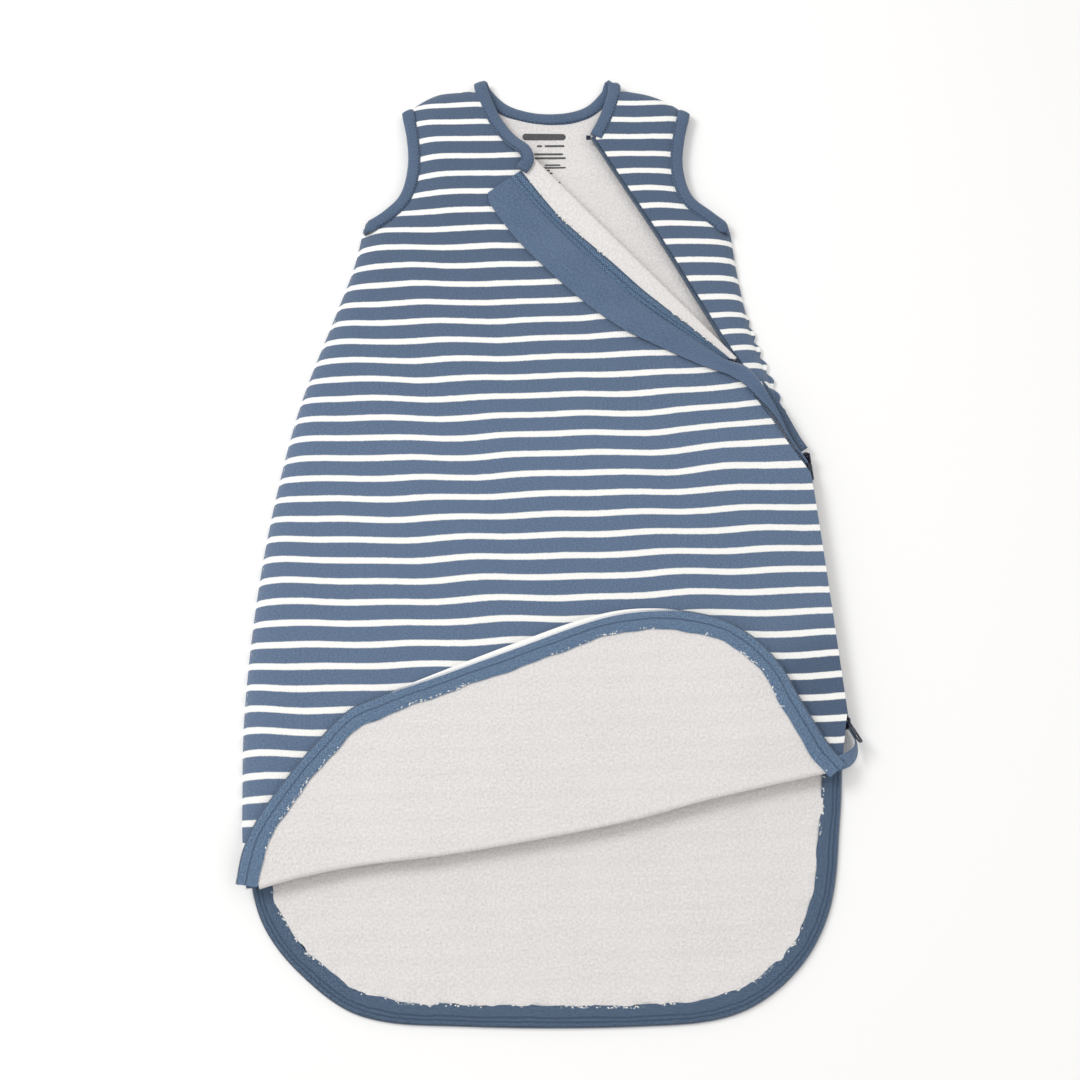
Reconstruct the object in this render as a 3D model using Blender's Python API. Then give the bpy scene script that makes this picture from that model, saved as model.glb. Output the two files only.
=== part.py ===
"""Sleeveless baby sleeping bag, laid flat with its two-way zip open at the neck and at the hem.

The front is turned back in two places: a lapel along the diagonal neck zip, and a flap across the hem.
Sizes are written in millimetres and built in metres. +Z is up, +Y runs to the neck, +X to the zip side,
and the origin is under the middle of the whole bag, on the surface that it lies on.
"""
from math import cos, pi, radians, sin

import bmesh
import bpy
from mathutils import Matrix, Vector, geometry

MM = 0.001
GAP = 0.3

# Cloth layers, from the table up: (underside, top) of each.
BACK_OUTER = (0.0, 1.2)
BACK_LINING = (1.5, 2.7)
SIDE_LINING = (7.6, 8.6)
SIDE_OUTER = (8.9, 10.1)
FRONT_LINING = (10.0, 11.2)
FRONT_OUTER = (11.5, 12.7)
FOLD_Z = FRONT_OUTER[1] + GAP / 2
TURNED_OUTER = (13.0, 14.0)
TURNED_LINING = (14.3, 15.3)
# Zip and guard layers on the back's hem, on the front pieces and on the turned-back cloth.
BACK_TAPE = (1.5, 2.8)
BACK_COIL = (0.3, 2.1)
SIDE_COIL = (8.7, 10.1)
RUN_COIL = (10.6, 12.2)
TURNED_COIL = (13.0, 14.2)
TURNED_HEM_COIL = (13.1, 14.9)
TURNED_TAPE = (13.6, 15.3)
TURNED_HEM_TAPE = (14.3, 15.5)
GUARD_LAYER = (14.5, 15.3)
# Walls between the back and each front piece.
BACK_WALL = (BACK_LINING[1] + GAP, FRONT_LINING[0] - GAP)
SIDE_WALL = (BACK_LINING[1] + GAP, SIDE_LINING[0] - GAP)

# Widths of the narrow pieces.
BINDING_WIDTH = 10.0
BINDING_THICKNESS = 2.4
SEAM_WIDTH = 4.0
COIL_WIDTH = 2.0
HEM_TAPE_WIDTH = 13.0

# The bag's edges, each a smooth curve through a few points.
LEFT_SIDE = [(-143.5, 206), (-156, 157), (-181, 82), (-196, 8), (-205, -62), (-210, -140), (-208, -200),
             (-204, -238)]
HEM = [(-204, -238), (-191, -283), (-165, -316), (-124, -342), (-60, -348.7), (60, -348.7), (120, -341),
       (160, -315), (184, -275), (195, -215), (199, -180)]
RIGHT_SIDE = [(180, 52), (167, 88), (148, 136), (139, 180), (137, 206)]
LEFT_ARMHOLE = [(-139, 226), (-125, 235), (-112, 250), (-107, 274), (-109, 298), (-114, 322)]
RIGHT_ARMHOLE = [(134, 226), (122, 236), (107, 250), (101, 274), (103, 298), (108, 321)]
LEFT_SHOULDER = [(-100, 329), (-85, 336), (-64, 340)]
RIGHT_SHOULDER = [(59, 340), (79, 335), (94, 328)]
BACK_NECK_SEAM = [(-56, 330), (-38, 320), (-20, 314), (0, 312), (20, 314), (36, 320), (52, 331)]
LEFT_NECK_SEAM = [(-62, 334), (-55, 314), (-45, 298), (-33, 287), (-25, 279), (-24, 272)]
RIGHT_NECK_SEAM = [(42.5, 298), (49, 310), (58, 334)]

# The diagonal crease that the lapel turns on, from the neck to the end of the opening.
CREASE_TOP = Vector((-12, 274, 0))
CREASE_END = Vector((133, 113, 0))
# Lapel widths across the crease, as (distance along the crease, distance from it).
LAPEL_SEAM = [(3, 14), (50, 16), (100, 12.5), (135, 11), (186, 4.5), (212, 2.5)]
LAPEL_TAPE = [(3, 23), (50, 23.5), (100, 22.5), (135, 19), (186, 10), (212, 5)]
GUARD_EDGE = [(3, 47), (42, 52), (78, 52), (114, 49), (144, 43), (163, 37), (195, 22), (212, 13)]

# The neck zip beyond the lapel: the right half's edge, and the run where both halves close.
RIGHT_ZIP = [(34.5, 292), (53, 260), (82, 210), (110, 158), (136, 113)]
ZIP_RUN = [(136, 113), (149, 93), (160, 74), (171, 55), (178, 46)]

# The straight closed chain down the right side, and the slant of its face.
CHAIN_TOP = Vector((182, 39, 6.8))
CHAIN_END = Vector((199.8, -152, 6.8))
CHAIN_TILT = radians(50)
CHAIN_ROW_GAP = 1.0
CHAIN_ROW_WIDTH = 1.3
CHAIN_ROW_THICKNESS = 1.2
CHAIN_TAPE_THICKNESS = 0.6

# The hem flap: its fold line and its turned-up edge.
FOLD_POINT = Vector((0, -226.5, 0))
FOLD_ANGLE = radians(11.5)
FOLD_LEFT = -204
FOLD_RIGHT = 196
FLAP_EDGE = [(193, -181), (170, -148), (150, -110), (120, -87), (80, -77), (40, -82), (-20, -102),
             (-80, -125), (-136, -147), (-157, -168), (-194, -218), (-206, -254)]

# Sliders and pulls, measured along the chain, across it, and out from its face.
SLIDER_LENGTH = 9.0
SLIDER_WIDTH = 6.6
SLIDER_PLATE = 0.8
SLIDER_HALF_DEPTH = 2.2
SLIDER_POST = 0.6
CROWN_WIDTH = 1.4
CROWN_LENGTH = 6.6
PIVOT_DEPTH = 3.0
PULL_LENGTH = 17.0
PULL_WIDTH = 4.6
PULL_THICKNESS = 0.8
BOTTOM_PULL_REST = radians(28)


def smooth(points, steps=4):
    """Curve through the points, with the given number of straight steps in each span."""
    knots = [Vector(p).to_3d() for p in points]
    count = len(knots)
    tangents = [(knots[min(i + 1, count - 1)] - knots[max(i - 1, 0)]).normalized() for i in range(count)]
    curve = []
    for i in range(count - 1):
        reach = (knots[i + 1] - knots[i]).length / 3
        before = knots[i] + tangents[i] * reach
        after = knots[i + 1] - tangents[i + 1] * reach
        curve += geometry.interpolate_bezier(knots[i], before, after, knots[i + 1], steps + 1)[:-1]
    return curve + [knots[-1]]


def shifted(curve, distance):
    """Curve moved sideways in plan, to its left where the distance is positive."""
    last = len(curve) - 1
    moved = []
    for i, point in enumerate(curve):
        along = (curve[min(i + 1, last)] - curve[max(i - 1, 0)]).normalized()
        moved.append(point + Vector((-along.y, along.x, 0)) * distance)
    return moved


def material(name, colour, roughness, metallic=0.0):
    """Principled material, made once for each name."""
    found = bpy.data.materials.get(name)
    if found:
        return found
    made = bpy.data.materials.new(name)
    made.use_nodes = True
    shader = made.node_tree.nodes["Principled BSDF"]
    shader.inputs["Base Color"].default_value = (*colour, 1.0)
    shader.inputs["Roughness"].default_value = roughness
    shader.inputs["Metallic"].default_value = metallic
    return made


def striped():
    return material("striped_knit", (0.090, 0.135, 0.220), 0.85)


def lining():
    return material("brushed_lining", (0.60, 0.58, 0.56), 0.95)


def trim():
    return material("blue_trim", (0.085, 0.150, 0.270), 0.80)


def coil():
    return material("nylon_coil", (0.030, 0.050, 0.090), 0.45)


def painted():
    return material("slider_paint", (0.012, 0.020, 0.038), 0.35, 0.6)


def print_film():
    return material("print_film", (0.08, 0.08, 0.08), 0.7)


def finish(name, mesh, surface, parent=None):
    """Scale a millimetre mesh to metres and hang it on its parent without moving it."""
    bmesh.ops.recalc_face_normals(mesh, faces=mesh.faces)
    data = bpy.data.meshes.new(name)
    mesh.transform(Matrix.Scale(MM, 4))
    if parent:
        mesh.transform(parent.matrix_world.inverted())
    mesh.to_mesh(data)
    mesh.free()
    data.materials.append(surface)
    obj = bpy.data.objects.new(name, data)
    bpy.context.collection.objects.link(obj)
    obj.parent = parent
    return obj


def joint_empty(name, position, x_axis, z_axis, parent=None):
    """Empty on a joint, its X along the joint's axis."""
    y_axis = z_axis.cross(x_axis)
    turn = Matrix((x_axis, y_axis, z_axis)).transposed().to_4x4()
    empty = bpy.data.objects.new(name, None)
    empty.empty_display_size = 0.01
    bpy.context.collection.objects.link(empty)
    place = Matrix.Translation(position * MM) @ turn
    if parent:
        empty.parent = parent
        place = parent.matrix_world.inverted() @ place
    empty.matrix_local = place
    bpy.context.view_layer.update()
    return empty


def plate(name, outline, layer, surface, parent=None):
    """Flat panel of a closed outline, filling one cloth layer."""
    mesh = bmesh.new()
    corners = []
    for point in outline:
        if not corners or (corners[-1].co.xy - point.xy).length > 0.05:
            corners.append(mesh.verts.new((point.x, point.y, layer[0])))
    face = mesh.faces.new(corners)
    grown = bmesh.ops.extrude_face_region(mesh, geom=[face])
    raised = [item for item in grown["geom"] if isinstance(item, bmesh.types.BMVert)]
    bmesh.ops.translate(mesh, verts=raised, vec=(0, 0, layer[1] - layer[0]))
    bmesh.ops.triangulate(mesh, faces=mesh.faces)
    return finish(name, mesh, surface, parent)


def band(name, edge, other_edge, layer, surface, parent=None):
    """Flat strip between two curves with as many points each, filling one layer."""
    return plate(name, list(edge) + list(reversed(other_edge)), layer, surface, parent)


def ribbon(name, stations, width, thickness, surface, parent=None, closed=False):
    """Strip swept along stations of (centre, direction of its width)."""
    mesh = bmesh.new()
    rings = []
    count = len(stations)
    for i, (centre, across) in enumerate(stations):
        ahead = stations[(i + 1) % count if closed else min(i + 1, count - 1)][0]
        behind = stations[i - 1 if closed or i else 0][0]
        along = (ahead - behind).normalized()
        across = (across - along * across.dot(along)).normalized()
        up = along.cross(across)
        half_width, half_height = across * width / 2, up * thickness / 2
        corners = ((-1, -1), (1, -1), (1, 1), (-1, 1))
        rings.append([mesh.verts.new(centre + half_width * a + half_height * b) for a, b in corners])
    pairs = count if closed else count - 1
    for i in range(pairs):
        ring, following = rings[i], rings[(i + 1) % count]
        for k in range(4):
            mesh.faces.new((ring[k], ring[(k + 1) % 4], following[(k + 1) % 4], following[k]))
    if not closed:
        mesh.faces.new(rings[0])
        mesh.faces.new(rings[-1])
    bmesh.ops.triangulate(mesh, faces=mesh.faces)
    return finish(name, mesh, surface, parent)


def prism(name, outline, frame, depth, surface, parent=None):
    """Outline in the X-Y plane of a frame, standing between two depths along its Z."""
    mesh = bmesh.new()
    low = [mesh.verts.new(frame @ Vector((x, y, depth[0]))) for x, y in outline]
    high = [mesh.verts.new(frame @ Vector((x, y, depth[1]))) for x, y in outline]
    count = len(outline)
    mesh.faces.new(low)
    mesh.faces.new(high)
    for i in range(count):
        mesh.faces.new((low[i], low[(i + 1) % count], high[(i + 1) % count], high[i]))
    return finish(name, mesh, surface, parent)


def combine(base, tools, operation):
    """Join tools to a base, or cut them from it, and leave the tools out of the model."""
    for tool in tools:
        step = base.modifiers.new(operation.lower(), "BOOLEAN")
        step.operation = operation
        step.object = tool
        tool.hide_render = True
        tool.display_type = "WIRE"


def box_outline(x_low, x_high, y_low, y_high):
    return [(x_low, y_low), (x_high, y_low), (x_high, y_high), (x_low, y_high)]


def crease_frame():
    """Unit vectors along the crease and away from it, towards the turned-back lapel."""
    along = (CREASE_END - CREASE_TOP).normalized()
    away = Vector((along.y, -along.x, 0))
    return along, away


def on_lapel(rule, extra=0.0):
    """Points of a lapel width rule, placed beside the crease."""
    along, away = crease_frame()
    return [CREASE_TOP + along * p.x + away * (p.y + extra) for p in smooth(rule, 3)]


def fold_line(clearance):
    """The flap's fold between its two ends, moved towards the neck by a clearance."""
    along, away = fold_frame()
    ends = (FOLD_LEFT / cos(FOLD_ANGLE), FOLD_RIGHT / cos(FOLD_ANGLE))
    return [FOLD_POINT + along * end + away * clearance for end in ends]


def fold_frame():
    """Unit vectors along the flap's fold and away from it, towards the neck."""
    along = Vector((cos(FOLD_ANGLE), sin(FOLD_ANGLE), 0))
    return along, Vector((-along.y, along.x, 0))


def past_fold(curve, clearance=1.0):
    """The part of a curve that lies on the flap's side of its fold."""
    away = fold_frame()[1]
    return [point for point in curve if away.dot(point - FOLD_POINT) > clearance]


def flap_outline(curve):
    """Curve closed by the stretch of the fold under it."""
    along, away = fold_frame()
    kept = past_fold(curve)
    feet = [FOLD_POINT + along * along.dot(p - FOLD_POINT) + away * 0.5 for p in (kept[-1], kept[0])]
    return kept + feet


def chain_frame(origin):
    """Frame on the closed chain: X down the chain, Y across it, Z out of its face."""
    down = (CHAIN_END - CHAIN_TOP).normalized()
    outward = Vector((-down.y, down.x, 0))
    face = outward * cos(CHAIN_TILT) + Vector((0, 0, sin(CHAIN_TILT)))
    across = face.cross(down)
    turn = Matrix((down, across, face)).transposed().to_4x4()
    return Matrix.Translation(origin) @ turn


def chain_edge(offset):
    """Plan line beside the closed chain, from its bottom end to its top."""
    down = (CHAIN_END - CHAIN_TOP).normalized()
    outward = Vector((-down.y, down.x, 0))
    return [CHAIN_END.xy.to_3d() + outward * offset, CHAIN_TOP.xy.to_3d() + outward * offset]


def make_back():
    """Back panel with its lining, and the zip half sewn along its hem."""
    hem = smooth(HEM)
    armhole_left = shifted(smooth(LEFT_ARMHOLE), -(BINDING_WIDTH + GAP))
    armhole_right = shifted(smooth(RIGHT_ARMHOLE), BINDING_WIDTH + GAP)
    body_edge = smooth(LEFT_SIDE)
    top = armhole_right + list(reversed(smooth(RIGHT_SHOULDER))) + list(reversed(smooth(BACK_NECK_SEAM)))
    top += list(reversed(smooth(LEFT_SHOULDER))) + list(reversed(armhole_left))
    outer_hem = shifted(hem, COIL_WIDTH + GAP)
    lining_hem = shifted(hem, COIL_WIDTH + HEM_TAPE_WIDTH + 2 * GAP)
    right = smooth(RIGHT_SIDE)
    plate("back_outer", body_edge + outer_hem + chain_edge(3.0) + right + top, BACK_OUTER, striped())
    side = shifted(body_edge, 1.0)
    plate("back_lining", side[:-2] + lining_hem[1:] + chain_edge(-3.0) + shifted(right, 1.0) + top,
          BACK_LINING, lining())
    tape_edge = shifted(hem, COIL_WIDTH + HEM_TAPE_WIDTH + GAP)
    band("zip_tape_hem_back", outer_hem[2:-2], tape_edge[2:-2], BACK_TAPE, trim())
    band("zip_coil_hem_back", hem[2:-1], shifted(hem, COIL_WIDTH)[2:-1], BACK_COIL, coil())
    film = [Vector((x, y, 0)) for x, y in box_outline(-13, 25, 272, 304)]
    plate("neck_print", film, (BACK_LINING[1] + GAP, BACK_LINING[1] + 2 * GAP), print_film())


def zip_run(offset):
    """Plan curve where the two zip halves come together, moved sideways."""
    return shifted(smooth(ZIP_RUN), offset)


def make_front():
    """Main front panel above the fold line, with its lining."""
    armhole = shifted(smooth(LEFT_ARMHOLE), -(BINDING_WIDTH + GAP))
    neck = list(reversed(smooth(LEFT_NECK_SEAM)))
    along, away = crease_frame()
    crease = [CREASE_END + away * 0.5, CREASE_TOP + along * 3 + away * 0.5]
    top = neck + list(reversed(smooth(LEFT_SHOULDER))) + list(reversed(armhole))
    for name, layer, surface, inset in (("front_outer", FRONT_OUTER, striped(), -0.5),
                                        ("front_lining", FRONT_LINING, lining(), -5.0)):
        side = smooth(LEFT_SIDE)
        run = list(reversed(zip_run(-2.5 + inset / 5)))
        plate(name, side + fold_line(0.5) + chain_edge(inset) + run + crease + top, layer, surface)
    seam_edge = smooth(LEFT_SIDE)[2:-1]
    band("side_seam_left", seam_edge, shifted(seam_edge, SEAM_WIDTH), BACK_WALL, striped())
    shoulder = smooth(LEFT_SHOULDER)[2:-1]
    band("shoulder_seam_left", shoulder, shifted(shoulder, -SEAM_WIDTH), BACK_WALL, trim())


def make_side_front():
    """Small front panel between the right shoulder and the zip, with its lining and zip half."""
    armhole = shifted(smooth(RIGHT_ARMHOLE), BINDING_WIDTH + GAP)
    neck = list(reversed(smooth(RIGHT_NECK_SEAM)))
    zip_edge = smooth(RIGHT_ZIP)[:-1] + smooth(ZIP_RUN)[:-2]
    right = smooth(RIGHT_SIDE)
    top = armhole + list(reversed(smooth(RIGHT_SHOULDER))) + neck
    plate("side_front_outer", right + top + shifted(zip_edge, 7.0), SIDE_OUTER, striped())
    plate("side_front_lining", right + top + shifted(zip_edge, 2.0), SIDE_LINING, lining())
    band("zip_tape_neck_right", shifted(zip_edge, 2.6), shifted(zip_edge, 6.7), SIDE_OUTER, trim())
    band("zip_coil_neck_right", shifted(zip_edge, 0.4), shifted(zip_edge, 2.3), SIDE_COIL, coil())
    seam_edge = right[1:-2]
    band("side_seam_right", seam_edge, shifted(seam_edge, SEAM_WIDTH), SIDE_WALL, striped())
    shoulder = smooth(RIGHT_SHOULDER)[1:-2]
    band("shoulder_seam_right", shoulder, shifted(shoulder, -SEAM_WIDTH), SIDE_WALL, trim())
    stop = [Vector((x, y, 0)) for x, y in box_outline(27.5, 31.0, 296.5, 299.5)]
    plate("zip_stop_right", stop, SIDE_COIL, painted())


def armhole_binding(name, free_edge, inward, front_height, back_height):
    """Knit binding round an armhole, over the front's edge and back along the back's."""
    centre = shifted(smooth(free_edge), inward * BINDING_WIDTH / 2)
    inner = shifted(smooth(free_edge), inward * BINDING_WIDTH)
    first = (centre[0] - centre[1]).normalized()
    last = (centre[-1] - centre[-2]).normalized()
    middle = (front_height + back_height) / 2
    rise = Vector((0, 0, 1))
    front = [(c + rise * front_height, c - i) for c, i in zip(centre, inner)]
    back = [(c + rise * back_height, c - i) for c, i in zip(centre, inner)]
    shoulder = (centre[-1] + last * 3 + rise * middle, centre[-1] - inner[-1])
    underarm = (centre[0] + first * 3 + rise * middle, centre[0] - inner[0])
    stations = front + [shoulder] + list(reversed(back)) + [underarm]
    ribbon(name, stations, BINDING_WIDTH, BINDING_THICKNESS, trim(), closed=True)


def make_bindings():
    """Bindings of both armholes and of the neckline."""
    front = (FRONT_LINING[0] + FRONT_OUTER[1]) / 2
    side = (SIDE_LINING[0] + SIDE_OUTER[1]) / 2
    back = BINDING_THICKNESS / 2 + 0.1
    armhole_binding("armhole_binding_left", LEFT_ARMHOLE, -1, front, back)
    armhole_binding("armhole_binding_right", RIGHT_ARMHOLE, 1, side, back)
    left = [((-18.5, 274.5, front), (1, 0.15, 0)), ((-19.5, 281, front), (1, 0.6, 0)),
            ((-28, 290, front), (0.7, 0.7, 0)), ((-39.5, 302, front), (0.8, 0.6, 0)),
            ((-49.5, 318.5, front), (0.9, 0.3, 0)), ((-55.5, 337, front - 0.6), (1, 0.2, 0))]
    rear = [((-56.5, 348.6, 6.5), (1, 0.2, 0)), ((-52, 339, back + 0.6), (0.8, 0.6, 0)),
            ((-35, 325, back), (0.4, 0.9, 0)), ((-18, 319.3, back), (0.2, 1, 0)),
            ((0, 317.3, back), (0, 1, 0)), ((18, 319.3, back), (-0.2, 1, 0)),
            ((33, 325, back), (-0.4, 0.9, 0)), ((47.5, 339, back + 0.5), (-0.8, 0.6, 0)),
            ((52, 348.6, 4.8), (-1, 0.2, 0))]
    right = [((51.5, 337, side - 0.5), (-1, 0.3, 0)), ((43.5, 312.5, side), (-0.9, 0.4, 0)),
             ((35.8, 299.5, side), (-0.9, 0.5, 0))]
    knots = left + rear + right
    path = smooth([place for place, _ in knots], 3)
    widths = []
    for i in range(len(knots) - 1):
        widths += [Vector(knots[i][1]).lerp(Vector(knots[i + 1][1]), k / 3) for k in range(3)]
    widths.append(Vector(knots[-1][1]))
    ribbon("neck_binding", list(zip(path, widths)), BINDING_WIDTH, BINDING_THICKNESS, trim())


def make_side_zip():
    """Closed chain down the right side: two coils and the tapes that hold them."""
    frame = chain_frame(CHAIN_TOP)
    length = (CHAIN_END - CHAIN_TOP).length
    row = (CHAIN_ROW_GAP / 2, CHAIN_ROW_GAP / 2 + CHAIN_ROW_WIDTH)
    depth = (-CHAIN_ROW_THICKNESS / 2, CHAIN_ROW_THICKNESS / 2)
    tape = (row[1] + GAP, row[1] + GAP + 2.6)
    tape_depth = (-CHAIN_TAPE_THICKNESS / 2, CHAIN_TAPE_THICKNESS / 2)
    ends = (-3.5, length + 3.5)
    for side, half in ((-1, "front"), (1, "back")):
        across = sorted(side * y for y in row)
        prism("zip_coil_side_" + half, box_outline(*ends, *across), frame, depth, coil())
        across = sorted(side * y for y in tape)
        prism("zip_tape_side_" + half, box_outline(*ends, *across), frame, tape_depth, trim())


def slider_body(name, frame, post_side, track):
    """Two plates, the post between them, and the arched crown that holds the pull."""
    long, wide = SLIDER_LENGTH / 2, SLIDER_WIDTH / 2
    nose = post_side * long
    outline = [(-nose, -wide * 0.72), (nose * 0.3, -wide), (nose * 0.8, -wide * 0.92), (nose, -wide * 0.45),
               (nose, wide * 0.45), (nose * 0.8, wide * 0.92), (nose * 0.3, wide), (-nose, wide * 0.72)]
    top = SLIDER_HALF_DEPTH
    body = prism(name, outline, frame, (-top, top), painted(), track)
    half = SLIDER_POST / 2
    gullet = top - SLIDER_PLATE
    post_low, post_high = sorted((nose * 0.35, nose * 0.9))
    around_post = box_outline(-long - 1, long + 1, -wide - 1, wide + 1)
    hollow = prism(name + "_gullet", around_post, frame, (-gullet, gullet), painted(), track)
    post = prism(name + "_post", box_outline(post_low, post_high, -half, half), frame,
                 (-gullet - 0.5, gullet + 0.5), painted(), track)
    combine(hollow, [post], "DIFFERENCE")
    leg = CROWN_LENGTH / 2
    inside = PIVOT_DEPTH + 0.7
    arch = [(-leg, top - 0.3), (-leg + 0.9, top - 0.3), (-leg + 0.9, inside), (leg - 0.9, inside),
            (leg - 0.9, top - 0.3), (leg, top - 0.3), (leg, inside + 0.4), (leg - 0.5, inside + 0.8),
            (0.5 - leg, inside + 0.8), (-leg, inside + 0.4)]
    upright = frame @ Matrix.Rotation(pi / 2, 4, "X")
    crown = prism(name + "_crown", arch, upright, (-CROWN_WIDTH / 2, CROWN_WIDTH / 2), painted(), track)
    combine(body, [crown], "UNION")
    combine(body, [hollow], "DIFFERENCE")


def pull_tab(name, frame, hinge):
    """Slim tab with an eye round the crown's bar and a slot near its tip."""
    half = PULL_WIDTH / 2
    neck = half * 0.85
    eye_end = 4.3
    outline = [(-0.4, -neck), (eye_end, -neck), (eye_end + 1, -half), (PULL_LENGTH - 1.2, -half),
               (PULL_LENGTH, -half * 0.5), (PULL_LENGTH, half * 0.5), (PULL_LENGTH - 1.2, half),
               (eye_end + 1, half), (eye_end, neck), (-0.4, neck)]
    thick = PULL_THICKNESS / 2
    tab = prism(name, outline, frame, (-thick, thick), painted(), hinge)
    arm = CROWN_WIDTH / 2 + GAP
    eye = prism(name + "_eye", box_outline(0.4, eye_end, -arm, arm), frame, (-1, 1), painted(), hinge)
    slot_outline = box_outline(PULL_LENGTH - 6.5, PULL_LENGTH - 2.2, -0.9, 0.9)
    slot = prism(name + "_slot", slot_outline, frame, (-1, 1), painted(), hinge)
    combine(tab, [eye, slot], "DIFFERENCE")


def make_slider(name, origin, post_side, rest_angle):
    """One slider on the chain and its pull, each parented to an empty on its own joint."""
    frame = chain_frame(origin)
    down, across, face = (frame.col[i].to_3d() for i in range(3))
    track = joint_empty(name + "_track", origin, down, face)
    slider_body("slider_" + name, frame, post_side, track)
    pivot = origin + face * PIVOT_DEPTH
    hinge = joint_empty(name + "_pin", pivot, across, face, track)
    swing = Matrix.Translation(pivot) @ Matrix.Rotation(-rest_angle, 4, across) @ Matrix.Translation(-pivot)
    turned = swing @ Matrix.Translation(face * PIVOT_DEPTH) @ frame
    pull_tab("pull_" + name, turned, hinge)


def make_flap():
    """Hem flap turned up over the front, with its lining and its half of the hem zip."""
    axis = Vector((cos(FOLD_ANGLE), sin(FOLD_ANGLE), 0))
    hinge = joint_empty("flap_fold", FOLD_POINT + Vector((0, 0, FOLD_Z)), axis, Vector((0, 0, 1)))
    edge = smooth(FLAP_EDGE)
    inner = shifted(edge, COIL_WIDTH + GAP)
    tape = past_fold(shifted(edge, COIL_WIDTH + HEM_TAPE_WIDTH + GAP))
    seam = shifted(edge, COIL_WIDTH + HEM_TAPE_WIDTH + 2 * GAP)
    plate("flap_outer", flap_outline(inner), TURNED_OUTER, striped(), hinge)
    plate("flap_lining", flap_outline(seam), TURNED_LINING, lining(), hinge)
    band("zip_tape_hem_front", past_fold(inner), tape, TURNED_HEM_TAPE, trim(), hinge)
    row = past_fold(edge)
    band("zip_coil_hem_front", row, past_fold(shifted(edge, COIL_WIDTH)), TURNED_HEM_COIL, coil(), hinge)


def make_lapel():
    """Lapel turned back along the neck zip: cloth, serged tape, coil and the guard behind it."""
    along = crease_frame()[0]
    start = CREASE_TOP + Vector((0, 0, FOLD_Z))
    hinge = joint_empty("lapel_fold", start, -along, Vector((0, 0, 1)))
    crease = on_lapel([(x, 0.5) for x, _ in LAPEL_SEAM])
    seam = on_lapel(LAPEL_SEAM)
    band("lapel_outer", crease, seam, TURNED_OUTER, striped(), hinge)
    band("lapel_lining", crease, seam, TURNED_LINING, lining(), hinge)
    seam_edge, coil_edge = on_lapel(LAPEL_SEAM, GAP), on_lapel(LAPEL_TAPE, GAP)
    band("zip_tape_neck_left", seam_edge, on_lapel(LAPEL_TAPE), TURNED_TAPE, trim(), hinge)
    band("zip_coil_neck_left", coil_edge, on_lapel(LAPEL_TAPE, GAP + COIL_WIDTH), TURNED_COIL, coil(), hinge)
    band("zip_guard", on_lapel(GUARD_EDGE), coil_edge, GUARD_LAYER, trim(), hinge)


def make_zip_run():
    """Lapel's zip half and the end of its guard, where they run down to the top slider."""
    run = smooth(ZIP_RUN)[:-2]
    band("zip_coil_neck_run", shifted(run, -1.9), shifted(run, -0.4), RUN_COIL, coil())
    outer = [point + Vector((3, 2, 0)) for point in run[1:]]
    inner = [point - Vector((6, 5, 0)) for point in run[1:]]
    spread = [1 - 0.75 * i / (len(outer) - 1) for i in range(len(outer))]
    left = [a.lerp(b, s) for a, b, s in zip(run[1:], inner, spread)]
    right = [a.lerp(b, s) for a, b, s in zip(run[1:], outer, spread)]
    band("zip_guard_end", left, right, TURNED_COIL, trim())


def make_loop():
    """Front zip tape between the bottom slider and the flap's corner, which curls over in a loop."""
    path = smooth([(203, -159.5, 6.5), (207, -166, 7.5), (207, -174, 9.5), (201, -181, 11.5)], 3)
    last = len(path) - 1
    across = [Vector((-0.5, 0, 0.8)).lerp(Vector((0.5, 0.9, 0.2)), i / last) for i in range(last + 1)]
    ribbon("zip_tape_loop", list(zip(path, across)), 5.0, 0.8, trim())


def make_end_stops():
    """Metal stops at the ends of the zip."""
    end = [Vector((x, y, 0)) for x, y in box_outline(-209, -205, -253, -246)]
    plate("zip_end_stop", end, (3.0, 6.0), painted())


for old in list(bpy.data.objects):
    bpy.data.objects.remove(old)
make_back()
make_front()
make_side_front()
make_bindings()
make_side_zip()
make_zip_run()
make_flap()
make_lapel()
make_slider("top", CHAIN_TOP, -1, 0.0)
make_slider("bottom", CHAIN_END, 1, BOTTOM_PULL_REST)
make_loop()
make_end_stops()
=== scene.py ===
"""Looks of the baby sleeping bag: soft cloth, knit, zip coils, stitches, light and camera.

Shapes are written in millimetres in the frame's own axes (+X zip side, +Y neck, +Z up) and built in metres.
"""
import math
import random

import bpy
import numpy as np
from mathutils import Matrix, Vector, geometry


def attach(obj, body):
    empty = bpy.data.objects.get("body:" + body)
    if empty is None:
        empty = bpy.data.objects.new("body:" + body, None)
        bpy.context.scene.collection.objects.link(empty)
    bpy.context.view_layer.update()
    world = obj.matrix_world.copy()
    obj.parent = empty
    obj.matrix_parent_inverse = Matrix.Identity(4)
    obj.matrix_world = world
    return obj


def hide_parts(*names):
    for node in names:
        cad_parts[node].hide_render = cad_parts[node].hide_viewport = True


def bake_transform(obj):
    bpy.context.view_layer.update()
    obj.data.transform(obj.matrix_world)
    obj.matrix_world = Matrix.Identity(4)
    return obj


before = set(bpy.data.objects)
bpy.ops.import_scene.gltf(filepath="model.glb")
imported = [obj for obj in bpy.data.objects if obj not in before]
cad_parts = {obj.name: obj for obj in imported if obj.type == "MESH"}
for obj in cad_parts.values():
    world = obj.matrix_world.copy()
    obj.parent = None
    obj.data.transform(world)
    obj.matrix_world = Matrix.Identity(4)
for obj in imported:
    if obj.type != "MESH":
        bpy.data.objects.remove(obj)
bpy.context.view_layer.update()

MM = 0.001

# Stripes of the knit: repeat, share that is white, and how far they climb towards the zip side.
STRIPE_PITCH = 15.07
STRIPE_WHITE = 0.292
STRIPE_START = -83.1
STRIPE_CLIMB = 0.031

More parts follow.
